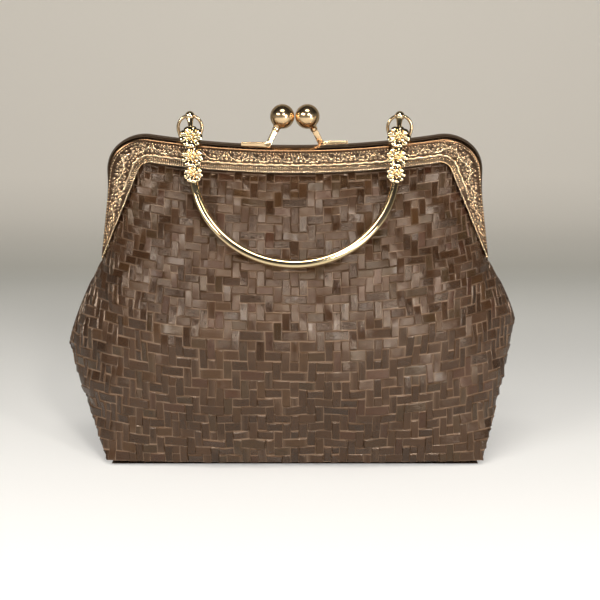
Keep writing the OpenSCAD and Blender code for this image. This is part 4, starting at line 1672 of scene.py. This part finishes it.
@dataclass(frozen=True)
class CastFlower:
    """Round flower of the handle with broad petals and a button, as shares of its diameter or radius."""

    petals: int = 9
    petal_points: int = 12
    button_lines: tuple[float, ...] = (0.0, 0.07, 0.12, 0.16, 0.19)
    petal_lines: tuple[float, float, int] = (0.23, 1.0, 15)
    turned: float = 0.3
    rim: tuple[float, float] = (0.84, 0.16)
    rim_round: float = 0.45
    button: float = 0.20
    button_height: tuple[float, float] = (0.085, 0.075)
    petal_height: tuple[float, float] = (0.075, 0.075)
    petal_crest: tuple[float, float] = (0.62, 0.39)
    gap_run: float = 0.25
    gap_depth: float = 0.85
    gap_round: float = 0.8
    back: float = 0.9
    back_depth: float = 0.06

    def surface(self, size: float, forward: float) -> Array:
        """Draws the flower facing forwards, from its button over the rim to the middle of its back.

        Args:
            size: Diameter of the flower.
            forward: Distance that its face stands in front of the bar's middle.

        Returns:
            Rows and columns of points around the flower's middle.
        """
        turn = around(self.petals * self.petal_points)[None, :]
        out = np.concatenate([self.button_lines, np.linspace(*self.petal_lines)])[:, None]
        lobe = np.abs(np.cos(self.petals * turn / 2.0 + self.turned))
        rim = 0.5 * size * (self.rim[0] + self.rim[1] * lobe**self.rim_round)
        gap = np.clip((out - self.button) / self.gap_run, 0.0, 1.0)
        cut = 1.0 - self.gap_depth * gap * (1.0 - lobe**self.gap_round)
        crest = dome((out - self.petal_crest[0]) / self.petal_crest[1])
        petal = size * (self.petal_height[0] + self.petal_height[1] * crest * cut)
        button = size * (self.button_height[0] + self.button_height[1] * dome(out / self.button))
        rise = np.where(out < self.button, button, petal) + forward
        face = np.stack([rim * out * np.cos(turn), -rise, rim * out * np.sin(turn)], axis=-1)
        back = np.stack([self.back * rim * np.cos(turn), 0.0 * rim, self.back * rim * np.sin(turn)], axis=-1)
        middle = np.zeros_like(back) + self.back_depth * size * DEEP
        return np.concatenate([face, back, middle])


@dataclass(frozen=True)
class Handle:
    """Cast U handle with drilled end balls and three flowers on each side."""

    pivot_y: float = -4.5
    pivot_z: float = 181.0
    lean: float = 28.056
    length: float = 81.0
    bend: float = 52.0
    bar: float = 2.3
    bar_shares: tuple[float, float] = (0.90, 0.10)
    bar_power: float = 2.35
    bar_steps: int = 140
    offset: float = 54.6
    ball: float = 2.6
    bore: float = 1.45
    waist: float = 0.12
    stem: float = 1.5
    stem_from: float = 0.03
    stem_steps: int = 24
    stem_rings: tuple[float, float, float] = (0.30, 16.0, 3.0)
    flower: CastFlower = CastFlower()
    flower_size: float = 11.4
    flower_forward: float = 0.55
    places: tuple[float, ...] = (0.155, 0.293, 0.408)
    sizes: tuple[float, ...] = (1.06, 1.0, 0.88)
    end: float = 0.395

    def lay(self, points: Array) -> Array:
        """Turns points of the hanging handle to where it rests.

        Args:
            points: Points below the handle's hinge.

        Returns:
            Points in the bag's own place.
        """
        a = math.radians(-self.lean)
        y = points[..., 1] * math.cos(a) - points[..., 2] * math.sin(a)
        z = points[..., 1] * math.sin(a) + points[..., 2] * math.cos(a)
        return np.stack([points[..., 0], y + self.pivot_y, z + self.pivot_z], axis=-1)

    def add_end(self, draft: MeshDraft, top: Array, end: Array) -> None:
        """Adds the ringed stem of one side and the drilled ball at its top.

        Args:
            draft: Piece that they belong to.
            top: Middle of the ball.
            end: Lower end of the stem.
        """
        t = np.linspace(self.stem_from, 1.0, self.stem_steps)
        swell, rings, fall = self.stem_rings
        wide = self.stem * (1.0 + swell * np.cos(t * rings) * np.exp(-t * fall))
        draft.sweep(top + (end - top) * t[:, None], np.tile(ACROSS, (len(t), 1)), np.tile(DEEP, (len(t), 1)),
                    wide, wide, sides=20)
        reach = math.sqrt(self.ball**2 - self.bore**2)
        arc = np.linspace(-reach, reach, 25)
        skin = np.stack([arc, np.sqrt(self.ball**2 - arc**2)], axis=-1)
        hole = np.array([[reach, self.bore], [0.0, self.bore - self.waist], [-reach, self.bore]])
        draft.lathe(np.concatenate([skin, hole]), top, ACROSS)

    def build(self, finish: bpy.types.Material) -> bpy.types.Object:
        """Builds the handle at rest.

        Args:
            finish: Gilt.

        Returns:
            The handle, not yet tied to a body.
        """
        draft = MeshDraft("flowered_handle")
        low = self.bend - self.length
        start = math.asin((self.end * self.length + low) / self.bend)
        turn = np.linspace(start, math.pi - start, self.bar_steps)
        path = np.stack([self.bend * np.cos(turn), 0.0 * turn, low - self.bend * np.sin(turn)], axis=-1)
        across = np.stack([np.cos(turn), 0.0 * turn, -np.sin(turn)], axis=-1)
        swell = self.bar * (self.bar_shares[0] + self.bar_shares[1] * np.sin(turn))
        draft.sweep(path, np.tile(DEEP, (self.bar_steps, 1)), across, swell, swell, sides=24, power=self.bar_power)
        stems = [(np.array([self.offset * side.value, 0.0, 0.0]),
                  np.array([self.bend * math.cos(start) * side.value, 0.0, -self.end * self.length]))
                 for side in Side]
        for top, end in stems:
            self.add_end(draft, top, end)
        draft.points = [self.lay(points) for points in draft.points]
        for top, end in stems:
            for place, size in zip(self.places, self.sizes):
                centre = top + (end - top) * place / self.end
                flower = self.flower.surface(self.flower_size * size, self.bar * self.flower_forward)
                draft.grid(self.lay(centre + flower), wrap=True, flip=True)
        return draft.build(finish, Slot.GILT, sharp=60.0)


class CadPieces:
    """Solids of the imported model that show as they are, with a finish of their own."""

    @staticmethod
    def dress(names: tuple[str, ...], finish: bpy.types.Material) -> None:
        """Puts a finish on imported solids.

        Args:
            names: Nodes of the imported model.
            finish: Material that they get.
        """
        for name in names:
            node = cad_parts[name]
            node.data.materials.clear()
            node.data.materials.append(finish)
            LOG.info("%s: packed solid dressed", name)


@dataclass(frozen=True)
class Lamp:
    """One soft lamp, in metres and watts, that shiny surfaces may mirror or not."""

    name: str
    at: Place
    size: tuple[float, float]
    power: float
    mirrored: bool = True
    to: Place = (0.0, 0.0, 0.10)
    colour: tuple[float, float, float] = (1.0, 0.955, 0.89)

    def build(self) -> None:
        """Adds the lamp to the scene."""
        data = bpy.data.lights.new(self.name, "AREA")
        data.color = self.colour
        data.shape, data.size, data.size_y, data.energy = "RECTANGLE", self.size[0], self.size[1], self.power
        lamp = place_object(self.name, data)
        lamp.visible_glossy = self.mirrored
        aim(lamp, self.at, self.to)


@dataclass(frozen=True)
class Studio:
    """Pale floor and wall, soft lamps and the camera, in metres."""

    floor: Colour = (0.80, 0.80, 0.795, 1.0)
    # Painted shade of the band where the floor bends up into the wall.
    shade_band: Colour = (0.36, 0.355, 0.32, 1.0)
    wall: Colour = (0.63, 0.595, 0.535, 1.0)
    lift: float = 0.42
    half_width: float = 2.6
    front: float = -2.5
    back: float = 0.75
    bend: float = 0.45
    height: float = 2.6
    below_mm: float = 0.05
    room_low: Colour = (0.52, 0.50, 0.46, 1.0)
    room_high: Colour = (0.055, 0.050, 0.046, 1.0)
    room_span: tuple[float, float] = (-0.05, 0.45)
    room_strength: float = 0.42
    camera_at: Place = (0.0027, -0.6358, 0.2173)
    look_at: Place = (0.0027, 0.0, 0.0822)
    lens: float = 72.1
    sensor: float = 36.0
    nearest: float = 0.01
    lamps: tuple[Lamp, ...] = (
        Lamp("overhead", (0.10, -0.35, 1.25), (1.0, 0.8), 2.6, mirrored=False),
        Lamp("softbox", (0.0, -0.48, 1.05), (0.45, 0.16), 3.2),
        Lamp("key", (0.30, -1.05, 0.66), (0.15, 0.15), 4.7),
        Lamp("right_strip", (0.66, -0.90, 0.26), (0.12, 0.40), 4.6),
        Lamp("left_strip", (-0.70, -0.78, 0.64), (0.50, 0.09), 5.2))

    def paper(self) -> bpy.types.Material:
        """Builds the backdrop's finish: a pale floor, a band of painted shade where it bends up, and a warm grey
        wall.

        Returns:
            The material.
        """
        g = NodeGraph("studio_paper")
        fibre = g.noise(g.place("Object"), 700.0, 2.0)
        away = g.node("ShaderNodeSeparateXYZ", {0: g.place("Object")}).outputs[1]
        # The floor darkens into a band of painted shade where the sweep bends up into the wall.
        colour = g.mix(g.span(away, -0.15, 0.55, 0.0, 1.0), self.floor, self.shade_band)
        colour = g.mix(g.span(away, 0.48, 0.95, 0.0, 1.0), colour, self.wall)
        seen = g.node("ShaderNodeLightPath").outputs["Is Camera Ray"]
        g.feed(g.shader, {"Base Color": colour, "Roughness": g.span(fibre, 0.3, 0.7, 0.85, 0.95),
                          "Emission Color": colour, "Emission Strength": g.math("MULTIPLY", seen, self.lift)})
        return g.material

    def backdrop(self) -> None:
        """Builds the floor that curves up into the wall."""
        turn = np.linspace(0.0, math.pi / 2.0, 25)
        line = [(self.front, 0.0)]
        line += [(self.back + self.bend * math.sin(a), self.bend - self.bend * math.cos(a)) for a in turn]
        line.append((self.back + self.bend, self.height))
        points = np.array([[[x / MM, y / MM, z / MM] for x in (-self.half_width, self.half_width)] for y, z in line])
        points[..., 2] -= self.below_mm
        draft = MeshDraft("studio_sweep")
        draft.grid(points, flip=True)
        mesh = draft.plain_mesh()
        draft.smooth(mesh)
        sweep = place_object(draft.name, mesh)
        mesh.materials.append(self.paper())

    def build(self) -> None:
        """Builds the backdrop, the lamps, the world and the camera."""
        self.backdrop()
        for lamp in self.lamps:
            lamp.build()
        self.surroundings()
        data = bpy.data.cameras.new("photo_camera")
        data.lens, data.sensor_width, data.clip_start = self.lens, self.sensor, self.nearest
        camera = place_object("photo_camera", data)
        aim(camera, self.camera_at, self.look_at)
        bpy.context.scene.camera = camera
        bpy.context.scene.view_settings.view_transform = "Standard"

    def surroundings(self) -> None:
        """Builds the world: a dim room that is darker overhead."""
        world = bpy.data.worlds.new("studio_world")
        bpy.context.scene.world = world
        world.use_nodes = True
        tree = world.node_tree
        coords = tree.nodes.new("ShaderNodeTexCoord")
        split = tree.nodes.new("ShaderNodeSeparateXYZ")
        fade = tree.nodes.new("ShaderNodeMapRange")
        mixed = tree.nodes.new("ShaderNodeMix")
        mixed.data_type = "RGBA"
        fade.inputs[1].default_value, fade.inputs[2].default_value = self.room_span
        mixed.inputs[6].default_value = self.room_low
        mixed.inputs[7].default_value = self.room_high
        tree.links.new(coords.outputs["Generated"], split.inputs[0])
        tree.links.new(split.outputs[2], fade.inputs[0])
        tree.links.new(fade.outputs[0], mixed.inputs[0])
        tree.links.new(mixed.outputs[2], tree.nodes["Background"].inputs["Color"])
        tree.nodes["Background"].inputs["Strength"].default_value = self.room_strength


def main() -> None:
    """Builds the studio and every piece of the bag, and ties each piece but the back leather and the back lining to
    its body.
    """
    logging.basicConfig(level=logging.INFO, format="%(message)s")
    Studio().build()
    shape, weave = SoftShape(), Weave()
    leather = WovenLeatherFinish().material()
    cotton = LiningFinish().material()
    gilt = GiltFinish().material()
    stamped = GiltFinish("stamped_gilt", bright=(0.96, 0.77, 0.52, 1.0), warm=(0.66, 0.44, 0.27, 1.0),
                         roughness=(0.14, 0.26)).material()
    pale = GiltFinish("pale_gilt", bright=(0.92, 0.76, 0.47, 1.0), warm=(0.82, 0.60, 0.34, 1.0),
                      roughness=(0.07, 0.15)).material()

    front = LeatherPanel(Half.FRONT, shape, weave, leather).build()
    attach(front, Body.BAG.value)
    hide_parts("front_panel")
    back = LeatherPanel(Half.BACK, shape, weave, leather).build()
    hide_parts("back_panel")
    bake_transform(back)

    plain, thread = PlainLeatherFinish().material(), ThreadFinish().material()
    for side in Side:
        for piece in SideSeam(side, shape, plain, thread).build():
            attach(piece, Body.BAG.value)

    front_cloth, front_area = LiningHalf(Half.FRONT, shape, cotton).build()
    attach(front_cloth, Body.BAG.value)
    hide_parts("front_lining")
    back_cloth, back_area = LiningHalf(Half.BACK, shape, cotton).build()
    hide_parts("back_lining")
    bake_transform(back_cloth)
    for cloth, area in ((front_cloth, front_area), (back_cloth, back_area)):
        LOG.info("%s: %.4f square metres of cloth", cloth.name, area)

    # Gilt painted dark brown: a shaded copy of the gilt whose colour paints the dark reflection of the overhead room
    # on the shoulder and the imported frames.
    painted_dark = GiltFinish("painted_dark_gilt", bright=(0.26, 0.155, 0.085, 1.0), warm=(0.12, 0.066, 0.034, 1.0),
                         roughness=(0.16, 0.30)).material()
    for half, body in ((Half.FRONT, Body.BAG), (Half.BACK, Body.BACK_HALF)):
        face = FrameFace(half, stamped)
        for piece in (face.build_face(), face.build_beads(), face.build_shoulder(painted_dark)):
            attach(piece, body.value)
        arm, knob = Clasp().build(half, gilt)
        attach(arm, body.value)
        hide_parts(half.word + "_clasp_arm")
        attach(knob, body.value)
        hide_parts(half.word + "_clasp_ball")

    handle = Handle().build(pale)
    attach(handle, Body.HANDLE.value)
    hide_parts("handle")

    # The imported frames get the same gilt painted dark with the overhead room's reflection.
    CadPieces.dress(("front_frame", "back_frame"), painted_dark)
    CadPieces.dress(("left_hinge_rivet", "right_hinge_rivet", "left_handle_loop", "right_handle_loop"), gilt)
    CadPieces.dress(("base_board",), BoardFinish().material())


if __name__ == "__main__":
    main()
